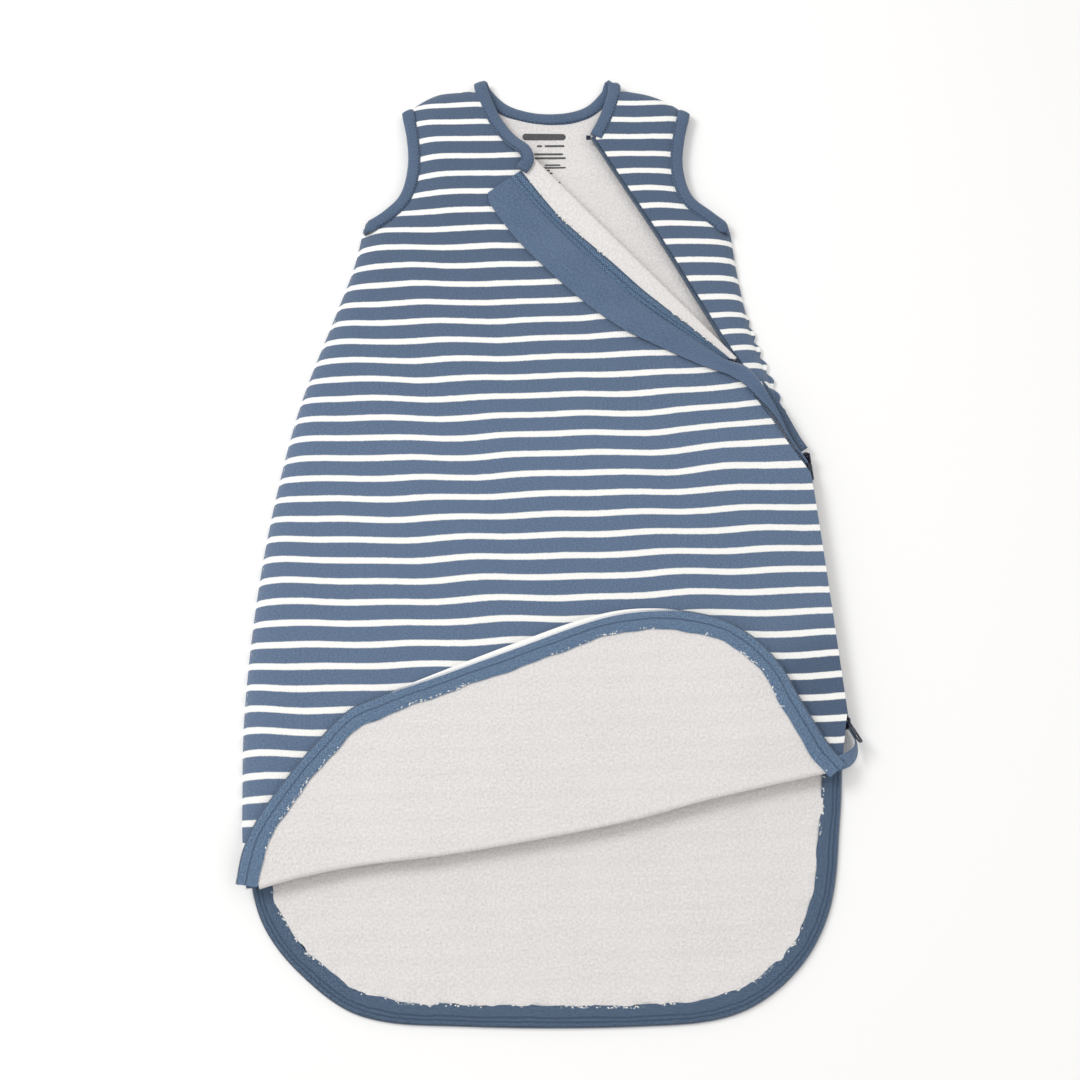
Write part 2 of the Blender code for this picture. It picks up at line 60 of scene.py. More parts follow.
# Edges of the bag, seen in plan.
LEFT_SIDE = [(-140, 224), (-146, 192), (-157, 157), (-181, 82), (-196, 8), (-205, -62), (-209.5, -140),
             (-208, -200), (-204, -240), (-200, -262)]
HEM = [(-204, -238), (-191, -283), (-165, -315.5), (-124, -342.5), (-60, -349), (60, -349), (120, -341.5),
       (160, -315), (184, -275), (194, -215), (198, -172), (200, -150)]
CHAIN_SIDE = [(201.5, -150), (196, -90), (190.5, -30), (184.5, 28), (181, 50)]
RIGHT_SIDE = [(178, 50), (172, 63), (164.5, 88), (148.5, 136), (140, 180), (135, 222)]
LEFT_ARMHOLE = [(-139, 226), (-125, 236), (-113, 250), (-108, 274), (-109.5, 298), (-114, 321)]
RIGHT_ARMHOLE = [(134, 226), (122, 236), (107, 250), (101, 274), (103, 298), (108, 321)]
LEFT_SHOULDER = [(-113, 322), (-85, 337), (-62, 341)]
RIGHT_SHOULDER = [(57, 341), (79, 336), (107, 321)]
BACK_NECK = [(-54, 340), (-38, 330), (-20, 323.5), (0, 322), (20, 323.5), (36, 330.5), (48, 341)]
NECK_LEFT = [(-15, 269), (-11, 276), (-15, 287), (-27, 300), (-38, 316), (-46, 336)]
NECK_RIGHT = [(31, 301), (38, 318), (45, 338)]

# The diagonal crease of the lapel and what lies beside it, as (distance along it, distance from it).
CREASE_TOP = np.array((-12.0, 274.0))
CREASE_END = np.array((133.0, 113.0))
LAPEL_SEAM = [(-1, 12), (25, 15), (50, 16.5), (100, 12.8), (135, 11), (186, 4.8), (214, 2.2)]
LAPEL_TAPE = [(-2, 22), (25, 23.5), (50, 23.5), (100, 22.5), (135, 19.5), (186, 10), (214, 4)]
GUARD_EDGE = [(-4, 43), (3, 47.5), (42, 52.5), (78, 52), (114, 49), (144, 43.5), (163, 37), (203, 21),
              (222, 11.5)]
RIGHT_ZIP = [(31, 298), (53, 260), (82, 210), (110, 158), (136, 112), (152, 92), (163, 74), (174, 52),
             (179, 44)]
RUN_LEFT = [(128, 102), (138, 96), (146, 88), (157, 72), (168.5, 51.5), (180.5, 33)]
RUN_RIGHT = [(134, 112), (143.5, 106.5), (151, 97), (160.5, 78), (170, 56), (182.5, 36)]

# Binding of the neck: places along it, each with the direction of its width in plan.
NECK_FRONT = [((-21.5, 266.5, 16.6), (0.75, -0.6)), ((-17, 274, 17.0), (1, 0.05)),
              ((-19.5, 284, 15.6), (0.85, 0.6)), ((-30, 294.5, 12.6), (0.75, 0.65)),
              ((-42, 312, 10.9), (0.85, 0.5)), ((-51, 334, 9.6), (0.95, 0.25))]
NECK_REAR = [((-53.5, 347, 6.4), (0.95, 0.2)), ((-49.5, 340, 3.6), (0.8, 0.55)),
             ((-36, 326.5, 2.7), (0.45, 0.9)), ((-18, 319.5, 2.5), (0.2, 1)), ((0, 317.5, 2.5), (0, 1)),
             ((18, 319.5, 2.5), (-0.2, 1)), ((32, 325.5, 2.7), (-0.45, 0.9)),
             ((44, 338.5, 3.4), (-0.8, 0.55)), ((48, 347, 5.6), (-0.95, 0.2))]
NECK_SIDE = [((49, 336, 8.2), (-0.95, 0.3)), ((42, 314, 9.4), (-0.9, 0.42)),
             ((35, 299, 9.4), (-0.88, 0.47))]

# The hem flap: straight hinge line, the soft fold that bows about it, and the turned-up edge.
FOLD_POINT = np.array((0.0, -226.5))
FOLD_ANGLE = math.radians(11.5)
FOLD_BOW = [(-206, 4), (-172, 7), (-130, 7), (-70, 2.5), (0, 0.2), (60, 0.4), (110, 3.5), (200, 5)]
FLAP_EDGE = [(197, -181), (184, -165), (170, -141), (155, -113), (136, -93), (112, -80.5), (80, -75),
             (40, -79), (-20, -100), (-80, -122), (-118, -136), (-137, -145), (-157, -166), (-178, -193),
             (-194, -217), (-203, -238), (-206.5, -260)]
BAND_WIDTH = 13.5

# Heights above the table of the soft surfaces.
BACK_TOP = 1.3
BACK_LINING_TOP = 2.7
FRONT_TOP = 12.5
SIDE_TOP = 9.9
CLOTH = 1.1
LINING = 1.1
FLAP_UNDER = 13.0
ROLL_Z = 12.7
ROLL = 2.75
ROLL_ROWS = 13
CHAIN_TOP = np.array((182.0, 39.0, 6.8))
CHAIN_END = np.array((199.8, -152.0, 6.8))
CHAIN_TILT = math.radians(50)

# Zip coil: repeat and radius of its wire; radius of the thread of the bindings' stitches.
COIL_PITCH = 1.25
COIL_WIRE = 0.38
BINDING_STITCH = 0.5
UP = (0, 0, 1)


# ---------------------------------------------------------------- curves and surfaces


def smooth(points, spacing=2.5):
    """Evenly spaced points along a smooth curve through the given ones."""
    knots = [Vector(p).to_3d() for p in points]
    last = len(knots) - 1
    tangents = [(knots[min(i + 1, last)] - knots[max(i - 1, 0)]).normalized() for i in range(last + 1)]
    line = []
    for i in range(last):
        reach = (knots[i + 1] - knots[i]).length / 3
        handles = knots[i] + tangents[i] * reach, knots[i + 1] - tangents[i + 1] * reach
        line += geometry.interpolate_bezier(knots[i], *handles, knots[i + 1], 17)[:-1]
    line = np.array([tuple(p) for p in line + [knots[-1]]])
    return evenly(line, spacing)[:, : len(points[0])]


def evenly(line, spacing=None, count=None):
    """The same line with even steps."""
    steps = np.linalg.norm(np.diff(line, axis=0), axis=1)
    far = np.concatenate([[0], np.cumsum(steps)])
    if count is None:
        count = max(2, int(round(far[-1] / spacing)) + 1)
    at = np.linspace(0, far[-1], count)
    return np.stack([np.interp(at, far, line[:, k]) for k in range(line.shape[1])], axis=1)


def length_of(line):
    return float(np.linalg.norm(np.diff(line, axis=0), axis=1).sum())


def sideways(line):
    """Unit vectors to the left of a line, in plan."""
    along = np.gradient(line[:, :2], axis=0)
    along /= np.linalg.norm(along, axis=1)[:, None]
    return np.stack([-along[:, 1], along[:, 0]], axis=1)


def offset(line, distance):
    """Line moved to its left in plan, by one distance or by one for each point."""
    moved = line.copy()
    moved[:, :2] += sideways(line) * np.reshape(distance, (-1, 1))
    return moved


def distance(points, line):
    """Shortest distance in plan from each point to a line."""
    a, b = line[:-1, :2], line[1:, :2]
    ab = b - a
    size = np.maximum((ab**2).sum(axis=1), 1e-9)
    best = np.full(len(points), 1e9)
    for start in range(0, len(points), 4000):
        p = points[start : start + 4000, None, :2]
        t = np.clip(((p - a) * ab).sum(axis=2) / size, 0, 1)
        gap = np.linalg.norm(p - (a + ab * t[..., None]), axis=2)
        best[start : start + 4000] = gap.min(axis=1)
    return best


def inside(points, ring):
    """Which points lie inside a closed ring."""
    x, y = points[:, 0], points[:, 1]
    odd = np.zeros(len(points), bool)
    for (ax, ay), (bx, by) in zip(ring, np.roll(ring, -1, axis=0)):
        if ay != by:
            odd ^= ((ay > y) != (by > y)) & (x < (bx - ax) * (y - ay) / (by - ay) + ax)
    return odd


def fill(ring, spacing):
    """Plan mesh of a closed ring: its own points, and an even grid inside."""
    low, high = ring.min(axis=0), ring.max(axis=0)
    xs = np.arange(low[0], high[0], spacing)
    ys = np.arange(low[1], high[1], spacing)
    grid = np.array([(x + (j % 2) * spacing / 2, y) for j, y in enumerate(ys) for x in xs])
    grid = grid[inside(grid, ring)]
    closed = np.vstack([ring, ring[:1]])
    grid = grid[distance(grid, closed) > spacing * 0.6]
    points = [Vector(p) for p in np.vstack([ring, grid])]
    verts, _, faces, *_ = geometry.delaunay_2d_cdt(points, [], [list(range(len(ring)))], 1, 1e-5)
    return np.array([tuple(v) for v in verts]), faces


def clean(ring):
    """Ring without points that crowd their neighbour."""
    kept = [ring[0]]
    for p in ring[1:]:
        if np.linalg.norm(p - kept[-1]) > 0.8:
            kept.append(p)
    if np.linalg.norm(kept[0] - kept[-1]) < 0.8:
        kept.pop()
    return np.array(kept)


def wavy(line, size, wave=46.0):
    """Slow irregular wander along a line, one value for each point."""
    far = np.concatenate([[0], np.cumsum(np.linalg.norm(np.diff(line[:, :2], axis=0), axis=1))])
    return size * (np.sin(far / wave * 6.28) * 0.6 + np.sin(far / wave * 2.3 + 1.0) * 0.5
                   + 0.3 * np.sin(far / wave * 15.1 + 2.0))


def with_z(plan, z=0.0):
    return np.column_stack([plan, np.full(len(plan), z)])


def ease(t):
    t = np.clip(t, 0, 1)
    return t * t * (3 - 2 * t)


def rise(gap, reach):
    """Round shoulder that climbs from 0 at an edge to 1 at its reach."""
    t = np.clip(gap / reach, 0, 1)
    return np.sqrt(1 - (1 - t) ** 2)


def ridge(points, start, end, width, height):
    """Soft fold of the cloth along a short line."""
    start, end = np.array(start, float), np.array(end, float)
    along = end - start
    t = np.clip(((points[:, :2] - start) @ along) / (along @ along), 0, 1)
    gap = np.linalg.norm(points[:, :2] - (start + t[:, None] * along), axis=1)
    return height * np.exp(-((gap / width) ** 2)) * (0.35 + 0.65 * np.sin(math.pi * np.clip(t, 0.02, 0.98)))


def swell(points, wave, turn, phase):
    """One long wave across the cloth, between -1 and 1."""
    along = points[:, 0] * math.cos(turn) + points[:, 1] * math.sin(turn)
    return np.sin(2 * math.pi * along / wave + phase)


def tremble(points, size):
    """Small irregular unevenness of soft cloth."""
    long = swell(points, 61, 0.4, 0.3) * swell(points, 83, 1.9, 1.1)
    middle = swell(points, 37, 2.6, 2.0) * swell(points, 45, 1.2, 0.5)
    short = swell(points, 19, 0.9, 0.2) * swell(points, 23, 2.3, 1.7)
    return size * (long + 0.6 * middle + 0.35 * short)


def stripe_place(points):
    """How far along the striped knit each point lies, 0 at the middle of a white stripe."""
    climb = STRIPE_CLIMB * 18 * np.log1p(np.exp((points[:, 0] + 110) / 18))
    pulled = 5.0 * ease((points[:, 0] - 70) / 90) * ease((points[:, 1] - 15) / 45)
    pulled *= 1 - ease((points[:, 1] - 120) / 40)
    limp = 0.9 * swell(points, 130, 0.25, 0.9) * swell(points, 210, 1.4, 0.2)
    limp += 0.5 * swell(points, 62, 0.5, 2.0)
    return points[:, 1] - climb - pulled - limp - STRIPE_START


# ---------------------------------------------------------------- materials


class Paint:
    """One Principled material whose nodes are added a line at a time."""

    def __init__(self, name, roughness, sheen=0.0, metallic=0.0):
        self.material = bpy.data.materials.new(name)
        self.material.use_nodes = True
        self.tree = self.material.node_tree
        self.shader = self.tree.nodes["Principled BSDF"]
        self.set("Roughness", roughness)
        self.set("Metallic", metallic)
        self.set("Specular IOR Level", 0.5 if metallic else 0.25)
        if sheen:
            self.set("Sheen Weight", sheen)
            self.set("Sheen Roughness", 0.5)
        uv = self.add("UVMap", {"uv_map": "cloth"})
        self.uv = uv.outputs["UV"]
        self.across, self.along = self.split(self.uv)

    def set(self, socket, value):
        self.shader.inputs[socket].default_value = value

    def add(self, kind, settings=None, inputs=None):
        node = self.tree.nodes.new("ShaderNode" + kind)
        for key, value in (settings or {}).items():
            setattr(node, key, value)
        for key, value in (inputs or {}).items():
            self.feed(node.inputs[key], value)
        return node

    def feed(self, socket, value):
        if isinstance(value, bpy.types.NodeSocket):
            self.tree.links.new(value, socket)
        else:
            socket.default_value = value

    def split(self, vector):
        node = self.add("SeparateXYZ", inputs={0: vector})
        return node.outputs[0], node.outputs[1]

    def math(self, operation, *values):
        node = self.add("Math", {"operation": operation}, dict(enumerate(values)))
        return node.outputs[0]

    def stretch(self, x, y):
        """Cloth coordinates with separate scales along its two directions."""
        node = self.add("VectorMath", {"operation": "MULTIPLY"}, {0: self.uv, 1: (x, y, 1)})
        return node.outputs[0]

    def noise(self, scale, detail=2.0, roughness=0.5, vector=None):
        inputs = {"Vector": vector or self.uv, "Scale": scale, "Detail": detail, "Roughness": roughness}
        return self.add("TexNoise", inputs=inputs).outputs[0]

    def ramp(self, value, low, high, out_low=0.0, out_high=1.0):
        node = self.add("MapRange", inputs={0: value, 1: low, 2: high, 3: out_low, 4: out_high})
        return node.outputs[0]

    def mix(self, amount, first, second):
        node = self.add("Mix", {"data_type": "RGBA"})
        self.feed(node.inputs[0], amount)
        for index, colour in ((6, first), (7, second)):
            plain = not isinstance(colour, bpy.types.NodeSocket)
            self.feed(node.inputs[index], (*colour, 1) if plain else colour)
        return node.outputs[2]

    def colour(self, value):
        self.feed(self.shader.inputs["Base Color"], value)

    def from_middle(self, value):
        """Distance from the middle of each repeat of a value, in repeats."""
        part = self.math("FRACT", value)
        return self.math("ABSOLUTE", self.math("SUBTRACT", part, 0.5))

    def bump(self, height, strength, depth):
        node = self.add("Bump", inputs={"Strength": strength, "Distance": depth, "Height": height})
        self.feed(self.shader.inputs["Normal"], node.outputs[0])

    def wave(self, value, period, phase=0.0):
        """Sine of a coordinate in metres, from -1 to 1, with its period in metres."""
        turned = self.math("MULTIPLY_ADD", value, 2 * math.pi / period, phase)
        return self.math("SINE", turned)


def knit_height(paint, wale=0.0011, course=0.0008):
    """Height of a fine jersey face: upright wales crossed by small courses."""
    lean = paint.math("MULTIPLY", paint.wave(paint.along, course), 0.25)
    ribs = paint.math("ADD", paint.wave(paint.across, wale), lean)
    fluff = paint.noise(1500, 3.0, 0.65)
    return paint.math("ADD", paint.math("MULTIPLY", ribs, 0.35), fluff)


def striped_knit():
    """Navy jersey with narrow undyed stripes knitted in, with painted shade: the navy is darkened towards the
    top and by a painted shadow beside the flap.
    """
    paint = Paint("striped_knit", 0.85, sheen=0.25)
    wander = paint.math("MULTIPLY_ADD", paint.noise(160, 2.0), 0.035, -0.0175)
    fuzz = paint.math("MULTIPLY_ADD", paint.noise(1300, 2.0), 0.05, -0.025)
    place = paint.math("DIVIDE", paint.along, STRIPE_PITCH * MM)
    place = paint.math("ADD", paint.math("ADD", place, wander), fuzz)
    centred = paint.from_middle(paint.math("ADD", place, 0.5))
    half = STRIPE_WHITE / 2
    white = paint.ramp(centred, half + 0.022, half - 0.022)
    heather = paint.ramp(paint.noise(620, 4.0, 0.75, paint.stretch(1.0, 2.0)), 0.3, 0.7)
    worn = paint.noise(9, 3.0, 0.6)
    navy = paint.mix(heather, (0.058, 0.100, 0.178), (0.160, 0.222, 0.330))
    navy = paint.mix(paint.ramp(worn, 0.35, 0.7, 0.0, 0.35), navy, (0.118, 0.168, 0.258))
    # Painted shade: the navy is mixed with a darker navy by up to 40 % towards the top, and by up to 45 % in
    # a patch beside the flap's right end, a painted shadow of the flap's curl.
    flap_corner = {0: paint.uv, 1: (0.190, -0.062, 0)}
    away = paint.add("VectorMath", {"operation": "DISTANCE"}, flap_corner).outputs[1]
    painted_shade_top = paint.ramp(paint.along, 0.13, 0.31, 0.0, 0.40)
    painted_shadow_flap = paint.ramp(away, 0.062, 0.03, 0.0, 0.45)
    navy = paint.mix(paint.math("MAXIMUM", painted_shade_top, painted_shadow_flap), navy, (0.028, 0.048, 0.084))
    cream = paint.mix(heather, (0.84, 0.83, 0.80), (0.97, 0.965, 0.95))
    paint.colour(paint.mix(white, navy, cream))
    paint.bump(knit_height(paint), 0.35, 0.0006)
    return paint.material


def brushed_lining():
    """Light warm grey brushed lining; the stripes behind it show through very faintly."""
    paint = Paint("brushed_lining", 0.95, sheen=0.35)
    place = paint.math("DIVIDE", paint.along, STRIPE_PITCH * MM)
    centred = paint.from_middle(place)
    shade = paint.ramp(centred, 0.2, 0.45, 0.0, 0.10)
    pile = paint.noise(560, 5.0, 0.75)
    cloud = paint.noise(22, 3.0, 0.6)
    grey = paint.mix(paint.ramp(pile, 0.32, 0.68), (0.60, 0.575, 0.565), (0.84, 0.815, 0.805))
    grey = paint.mix(paint.ramp(cloud, 0.35, 0.75, 0.0, 0.3), grey, (0.79, 0.765, 0.75))
    paint.colour(paint.mix(shade, grey, (0.60, 0.585, 0.58)))
    tufts = paint.add("TexVoronoi", {"feature": "SMOOTH_F1"}, {"Vector": paint.uv, "Scale": 620}).outputs[0]
    paint.bump(paint.math("ADD", pile, tufts), 0.5, 0.0010)
    return paint.material


def plain_trim(name, dark, light, wale=0.0012):
    """Plain blue knit of the bindings and of the zip guard."""
    paint = Paint(name, 0.8, sheen=0.25)
    heather = paint.ramp(paint.noise(700, 4.0, 0.75), 0.3, 0.7)
    cloud = paint.noise(25, 2.0, 0.5)
    blue = paint.mix(heather, dark, light)
    paint.colour(paint.mix(paint.ramp(cloud, 0.35, 0.7, 0.0, 0.4), blue, light))
    paint.bump(knit_height(paint, wale, 0.0009), 0.4, 0.0006)
    return paint.material


def woven_tape(name, dark, light, lines, weave):
    """Zip tape: a dense herringbone weave with darker stitched lines at given distances across it."""
    paint = Paint(name, 0.75, sheen=0.15)
    zig = paint.from_middle(paint.math("DIVIDE", paint.across, weave))
    slant = paint.math("ADD", paint.along, paint.math("MULTIPLY", zig, weave * 0.75))
    twill = paint.wave(slant, weave / 3)
    fibre = paint.ramp(paint.noise(800, 3.0, 0.7), 0.3, 0.7)
    blend = paint.math("MULTIPLY_ADD", twill, 0.3, fibre)
    colour = paint.mix(blend, dark, light)
    groove = 0.0
    for place in lines:
        gap = paint.math("ABSOLUTE", paint.math("SUBTRACT", paint.along, place * MM))
        groove = paint.math("ADD", paint.ramp(gap, 0.0007, 0.0003, 0.0, 1.0), groove)
    colour = paint.mix(paint.math("MULTIPLY", groove, 0.5), colour, (0.022, 0.042, 0.085))
    paint.colour(colour)
    paint.bump(paint.math("SUBTRACT", blend, groove), 0.7, 0.0008)
    return paint.material


def coil_nylon():
    """Nylon wire of the zip's coil, slightly worn on its crowns."""
    paint = Paint("coil_nylon", 0.42)
    dust = paint.noise(400, 3.0, 0.6)
    paint.colour(paint.mix(dust, (0.070, 0.108, 0.175), (0.190, 0.250, 0.340)))
    paint.bump(dust, 0.1, 0.0002)
    return paint.material


def slider_paint():
    """Dark navy enamel on die-cast metal, rubbed thin along its edges."""
    paint = Paint("slider_paint", 0.32, metallic=0.55)
    place = paint.add("TexCoord").outputs["Object"]
    rubbed = paint.noise(900, vector=place)
    paint.colour(paint.mix(rubbed, (0.010, 0.016, 0.030), (0.030, 0.042, 0.066)))
    paint.bump(rubbed, 0.08, 0.0002)
    return paint.material


def thread(name, dark, light):
    paint = Paint(name, 0.7, sheen=0.2)
    ply = paint.noise(1200, 2.0, 0.6)
    paint.colour(paint.mix(ply, dark, light))
    paint.bump(ply, 0.3, 0.0002)
    return paint.material


def print_ink():
    paint = Paint("print_ink", 0.75)
    paint.colour(paint.mix(paint.noise(500, 3.0), (0.05, 0.05, 0.055), (0.12, 0.12, 0.125)))
    paint.bump(paint.noise(900), 0.2, 0.0003)
    return paint.material


STRIPED = striped_knit()
BRUSHED = brushed_lining()
TRIM = plain_trim("blue_trim", (0.042, 0.076, 0.136), (0.104, 0.155, 0.242))
GUARD = plain_trim("guard_knit", (0.046, 0.084, 0.154), (0.130, 0.190, 0.292), 0.0010)
TAPE = woven_tape("woven_tape", (0.036, 0.070, 0.130), (0.138, 0.202, 0.300), (7.4, 10.2), 0.0036)
FLAP_TAPE = woven_tape("flap_tape", (0.056, 0.108, 0.198), (0.212, 0.310, 0.455), (7.4,), 0.0036)
SERGED = woven_tape("serged_tape", (0.028, 0.068, 0.140), (0.172, 0.272, 0.410), (1.2, 5.2, 9.4), 0.0048)
COIL = coil_nylon()
ENAMEL = slider_paint()
BLUE_THREAD = thread("blue_thread", (0.018, 0.034, 0.070), (0.048, 0.078, 0.135))
PALE_THREAD = thread("pale_blue_thread", (0.040, 0.074, 0.135), (0.095, 0.145, 0.230))
WHITE_THREAD = thread("white_thread", (0.80, 0.79, 0.76), (0.95, 0.95, 0.93))
INK = print_ink()


# ---------------------------------------------------------------- building pieces


def build(name, points, faces, uv, material, body="bag", nodes=(), thickness=0.0, side=-1):
    """Mesh object from millimetre points, with its cloth coordinates, riding on a body."""
    mesh = bpy.data.meshes.new(name)
    mesh.from_pydata([tuple(p) for p in np.asarray(points) * MM], [], [list(f) for f in faces])
    layer = mesh.uv_layers.new(name="cloth")
    corners = np.zeros(len(mesh.loops), int)
    mesh.loops.foreach_get("vertex_index", corners)
    layer.data.foreach_set("uv", (np.asarray(uv)[corners] * MM).astype(np.float32).ravel())
    mesh.shade_smooth()
    if thickness:
        keep_rims_crisp(mesh)
    obj = bpy.data.objects.new(name, mesh)
    bpy.context.scene.collection.objects.link(obj)
    mesh.materials.append(material)
    if thickness:
        solid = obj.modifiers.new("thickness", "SOLIDIFY")
        solid.thickness = thickness * MM
        solid.offset = side
        solid.use_even_offset = False
    if body:
        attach(obj, body)
    if nodes:
        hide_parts(*nodes)
    return obj


def keep_rims_crisp(mesh):
    """Marks the free edges of a sheet, so that its flat face stays flat right up to them."""
    uses = np.zeros(len(mesh.edges), int)
    edges = np.zeros(len(mesh.loops), int)
    mesh.loops.foreach_get("edge_index", edges)
    np.add.at(uses, edges, 1)
    sharp = mesh.attributes.new("sharp_edge", "BOOLEAN", "EDGE")
    sharp.data.foreach_set("value", uses == 1)


def face_up(points, faces):
    """Faces turned so that they look up."""
    points = np.asarray(points)
    turned = []
    for f in faces:
        a, b, c = points[f[0]], points[f[1]], points[f[2]]
        up = (b[0] - a[0]) * (c[1] - a[1]) - (b[1] - a[1]) * (c[0] - a[0])
        turned.append(list(f) if up > 0 else list(reversed(f)))
    return turned


def panel(name, ring, height, material, spacing=3.5, **rest):
    """Sheet over a ring in plan; height gives the surface over each plan point."""
    plan, faces = fill(ring, spacing)
    points = np.column_stack([plan, height(plan)])
    uv = np.column_stack([plan[:, 0], stripe_place(plan)])
    return build(name, points, face_up(points, faces), uv, material, **rest)


def stripe_seam(obj, opened=None):
    """Gives a piece the stripes of the cloth where it lies, or would lie with its fold opened out."""
    mesh = obj.data
    corners = np.zeros(len(mesh.loops), int)
    mesh.loops.foreach_get("vertex_index", corners)
    plan = points_of(obj) if opened is None else opened
    uv = np.column_stack([plan[:, 0], stripe_place(plan)]) * MM
    mesh.uv_layers["cloth"].data.foreach_set("uv", uv[corners].astype(np.float32).ravel())


def points_of(obj):
    """Points of a piece, in millimetres."""
    points = np.zeros(len(obj.data.vertices) * 3)
    obj.data.vertices.foreach_get("co", points)
    return points.reshape(-1, 3) / MM


def turned_out(obj, origin, away):
    """Where a turned-over piece would lie in plan if its fold were opened out."""
    plan = points_of(obj)[:, :2]
    return plan - 2 * ((plan - origin) @ away)[:, None] * away


def loft(name, rows, material, stripe=0.0, **rest):
    """Sheet through rows of points that have the same count; its cloth runs along and across the rows."""
    rows = [np.asarray(r) for r in rows]
    count = len(rows[0])
    points = np.vstack(rows)
    far = np.concatenate([[0], np.cumsum(np.linalg.norm(np.diff(rows[0], axis=0), axis=1))])
    wide = [0.0]
    for a, b in zip(rows, rows[1:]):
        wide.append(wide[-1] + float(np.linalg.norm(b - a, axis=1).mean()))
    uv = np.vstack([np.column_stack([far, np.full(count, w + stripe)]) for w in wide])
    faces = []
    for j in range(len(rows) - 1):
        for i in range(count - 1):
            k = j * count + i
            faces.append([k, k + 1, k + count + 1, k + count])
    return build(name, points, faces, uv, material, **rest)


def soft_profile(width, height, steps=12, power=2.6):
    """Rounded flat section of a folded band, as (across, up) points."""
    ring = []
    for k in range(steps):
        angle = 2 * math.pi * (k + 0.5) / steps
        c, s = math.cos(angle), math.sin(angle)
        ring.append((width / 2 * math.copysign(abs(c) ** (2 / power), c),
                     height / 2 * math.copysign(abs(s) ** (2 / power), s)))
    return ring


def sweep(name, centre, across, profile, material, closed=False, **rest):
    """Section swept along a line; across is the direction of its width at each point."""
    centre, across = np.asarray(centre, float), np.asarray(across, float)
    if closed:
        along = np.roll(centre, -1, axis=0) - np.roll(centre, 1, axis=0)
    else:
        along = np.gradient(centre, axis=0)
    along /= np.linalg.norm(along, axis=1)[:, None]
    across = across - along * (across * along).sum(axis=1)[:, None]
    across /= np.linalg.norm(across, axis=1)[:, None]
    up = np.cross(along, across)
    count, ring = len(centre), len(profile)
    points = np.concatenate([centre + across * a + up * b for a, b in profile])
    steps = np.linalg.norm(np.diff(centre, axis=0), axis=1)
    far = np.concatenate([[0], np.cumsum(steps)])
    around = [0.0]
    for p, q in zip(profile, profile[1:]):
        around.append(around[-1] + math.dist(p, q))
    uv = np.concatenate([np.column_stack([np.full(count, w), far]) for w in around])
    faces = []
    for j in range(ring):
        k = (j + 1) % ring
        for i in range(count if closed else count - 1):
            n = (i + 1) % count
            faces.append([j * count + i, j * count + n, k * count + n, k * count + i])
    if not closed:
        faces.append([j * count for j in range(ring)])
        faces.append([j * count + count - 1 for j in reversed(range(ring))])
    return build(name, points, faces, uv, material, **rest)


def tube_points(line, radius, sides, taper=None):
    """Rings of points round a line, for a thread or a wire."""
    along = np.gradient(line, axis=0)
    along /= np.maximum(np.linalg.norm(along, axis=1)[:, None], 1e-9)
    guide = np.where(np.abs(along[:, 2:]) < 0.9, np.array([[0.0, 0.0, 1.0]]), np.array([[1.0, 0.0, 0.0]]))
    first = np.cross(along, guide)
    first /= np.linalg.norm(first, axis=1)[:, None]
    second = np.cross(along, first)
    size = radius * (np.ones(len(line)) if taper is None else taper)
    rings = []
    for k in range(sides):
        angle = 2 * math.pi * k / sides
        rings.append(line + (first * math.cos(angle) + second * math.sin(angle)) * size[:, None])
    return np.stack(rings, axis=1).reshape(-1, 3)


def tube_faces(start, count, sides):
    faces = []
    for i in range(count - 1):
        for k in range(sides):
            a, b = start + i * sides + k, start + i * sides + (k + 1) % sides
            faces.append([a, b, b + sides, a + sides])
    faces.append([start + k for k in reversed(range(sides))])
    faces.append([start + (count - 1) * sides + k for k in range(sides)])
    return faces


def threads(name, lines, radius, material, sides=5, **rest):
    """Many short threads as one piece, each thinned at its ends."""
    points, faces = [], []
    total = 0
    for line in lines:
        line = np.asarray(line, float)
        t = np.linspace(-1, 1, len(line))
        made = tube_points(line, radius, sides, np.sqrt(np.maximum(1 - t**4, 0.08)))
        faces += tube_faces(total, len(line), sides)
        points.append(made)
        total += len(made)
    points = np.vstack(points)
    uv = points[:, :2]
    return build(name, points, faces, uv, material, **rest)


def stitch_row(line, long=2.3, pitch=3.2, sink=0.25, lean=0.0):
    """Lines of single stitches along a seam, each dipping into the cloth at its ends."""
    beads = evenly(line, 0.4)
    reach, step = int(round(long / 0.4)), pitch / 0.4
    side = offset(beads, 1.0) - beads
    rows = []
    for k in range(int((len(beads) - reach) / step)):
        start = int(k * step)
        part = beads[start : start + reach + 1 : 2].copy()
        t = np.linspace(-1, 1, len(part))
        part[:, 2] -= sink * t**4
        part += side[start : start + reach + 1 : 2] * (t * lean)[:, None]
        rows.append(part)
    return rows


def flecks(name, line, share, seed, **rest):
    """Loose white ends of the serging along an edge, thick in some places and absent in others."""
    pick = random.Random(seed)
    beads = evenly(line, 0.5)
    side = sideways(beads)
    rows = []
    for i in range(4, len(beads) - 4):
        if pick.random() > share * (0.7 + math.sin(i / 37 + seed) + 0.6 * math.sin(i / 11 + seed)):
            continue
        turn = pick.uniform(-0.8, 0.8)
        long = pick.uniform(0.5, 1.4)
        along = beads[i + 1] - beads[i]
        along /= np.linalg.norm(along)
        lean = along * math.cos(turn) + np.array((*side[i], 0)) * math.sin(turn)
        middle = beads[i] + np.array((*(side[i] * pick.uniform(-0.7, 0.7)), pick.uniform(0.0, 0.5)))
        bow = np.array((0, 0, pick.uniform(0.1, 0.4)))
        rows.append([middle - lean * long, middle + bow, middle + lean * long])
    return threads(name, rows, 0.55, WHITE_THREAD, 4, **rest)


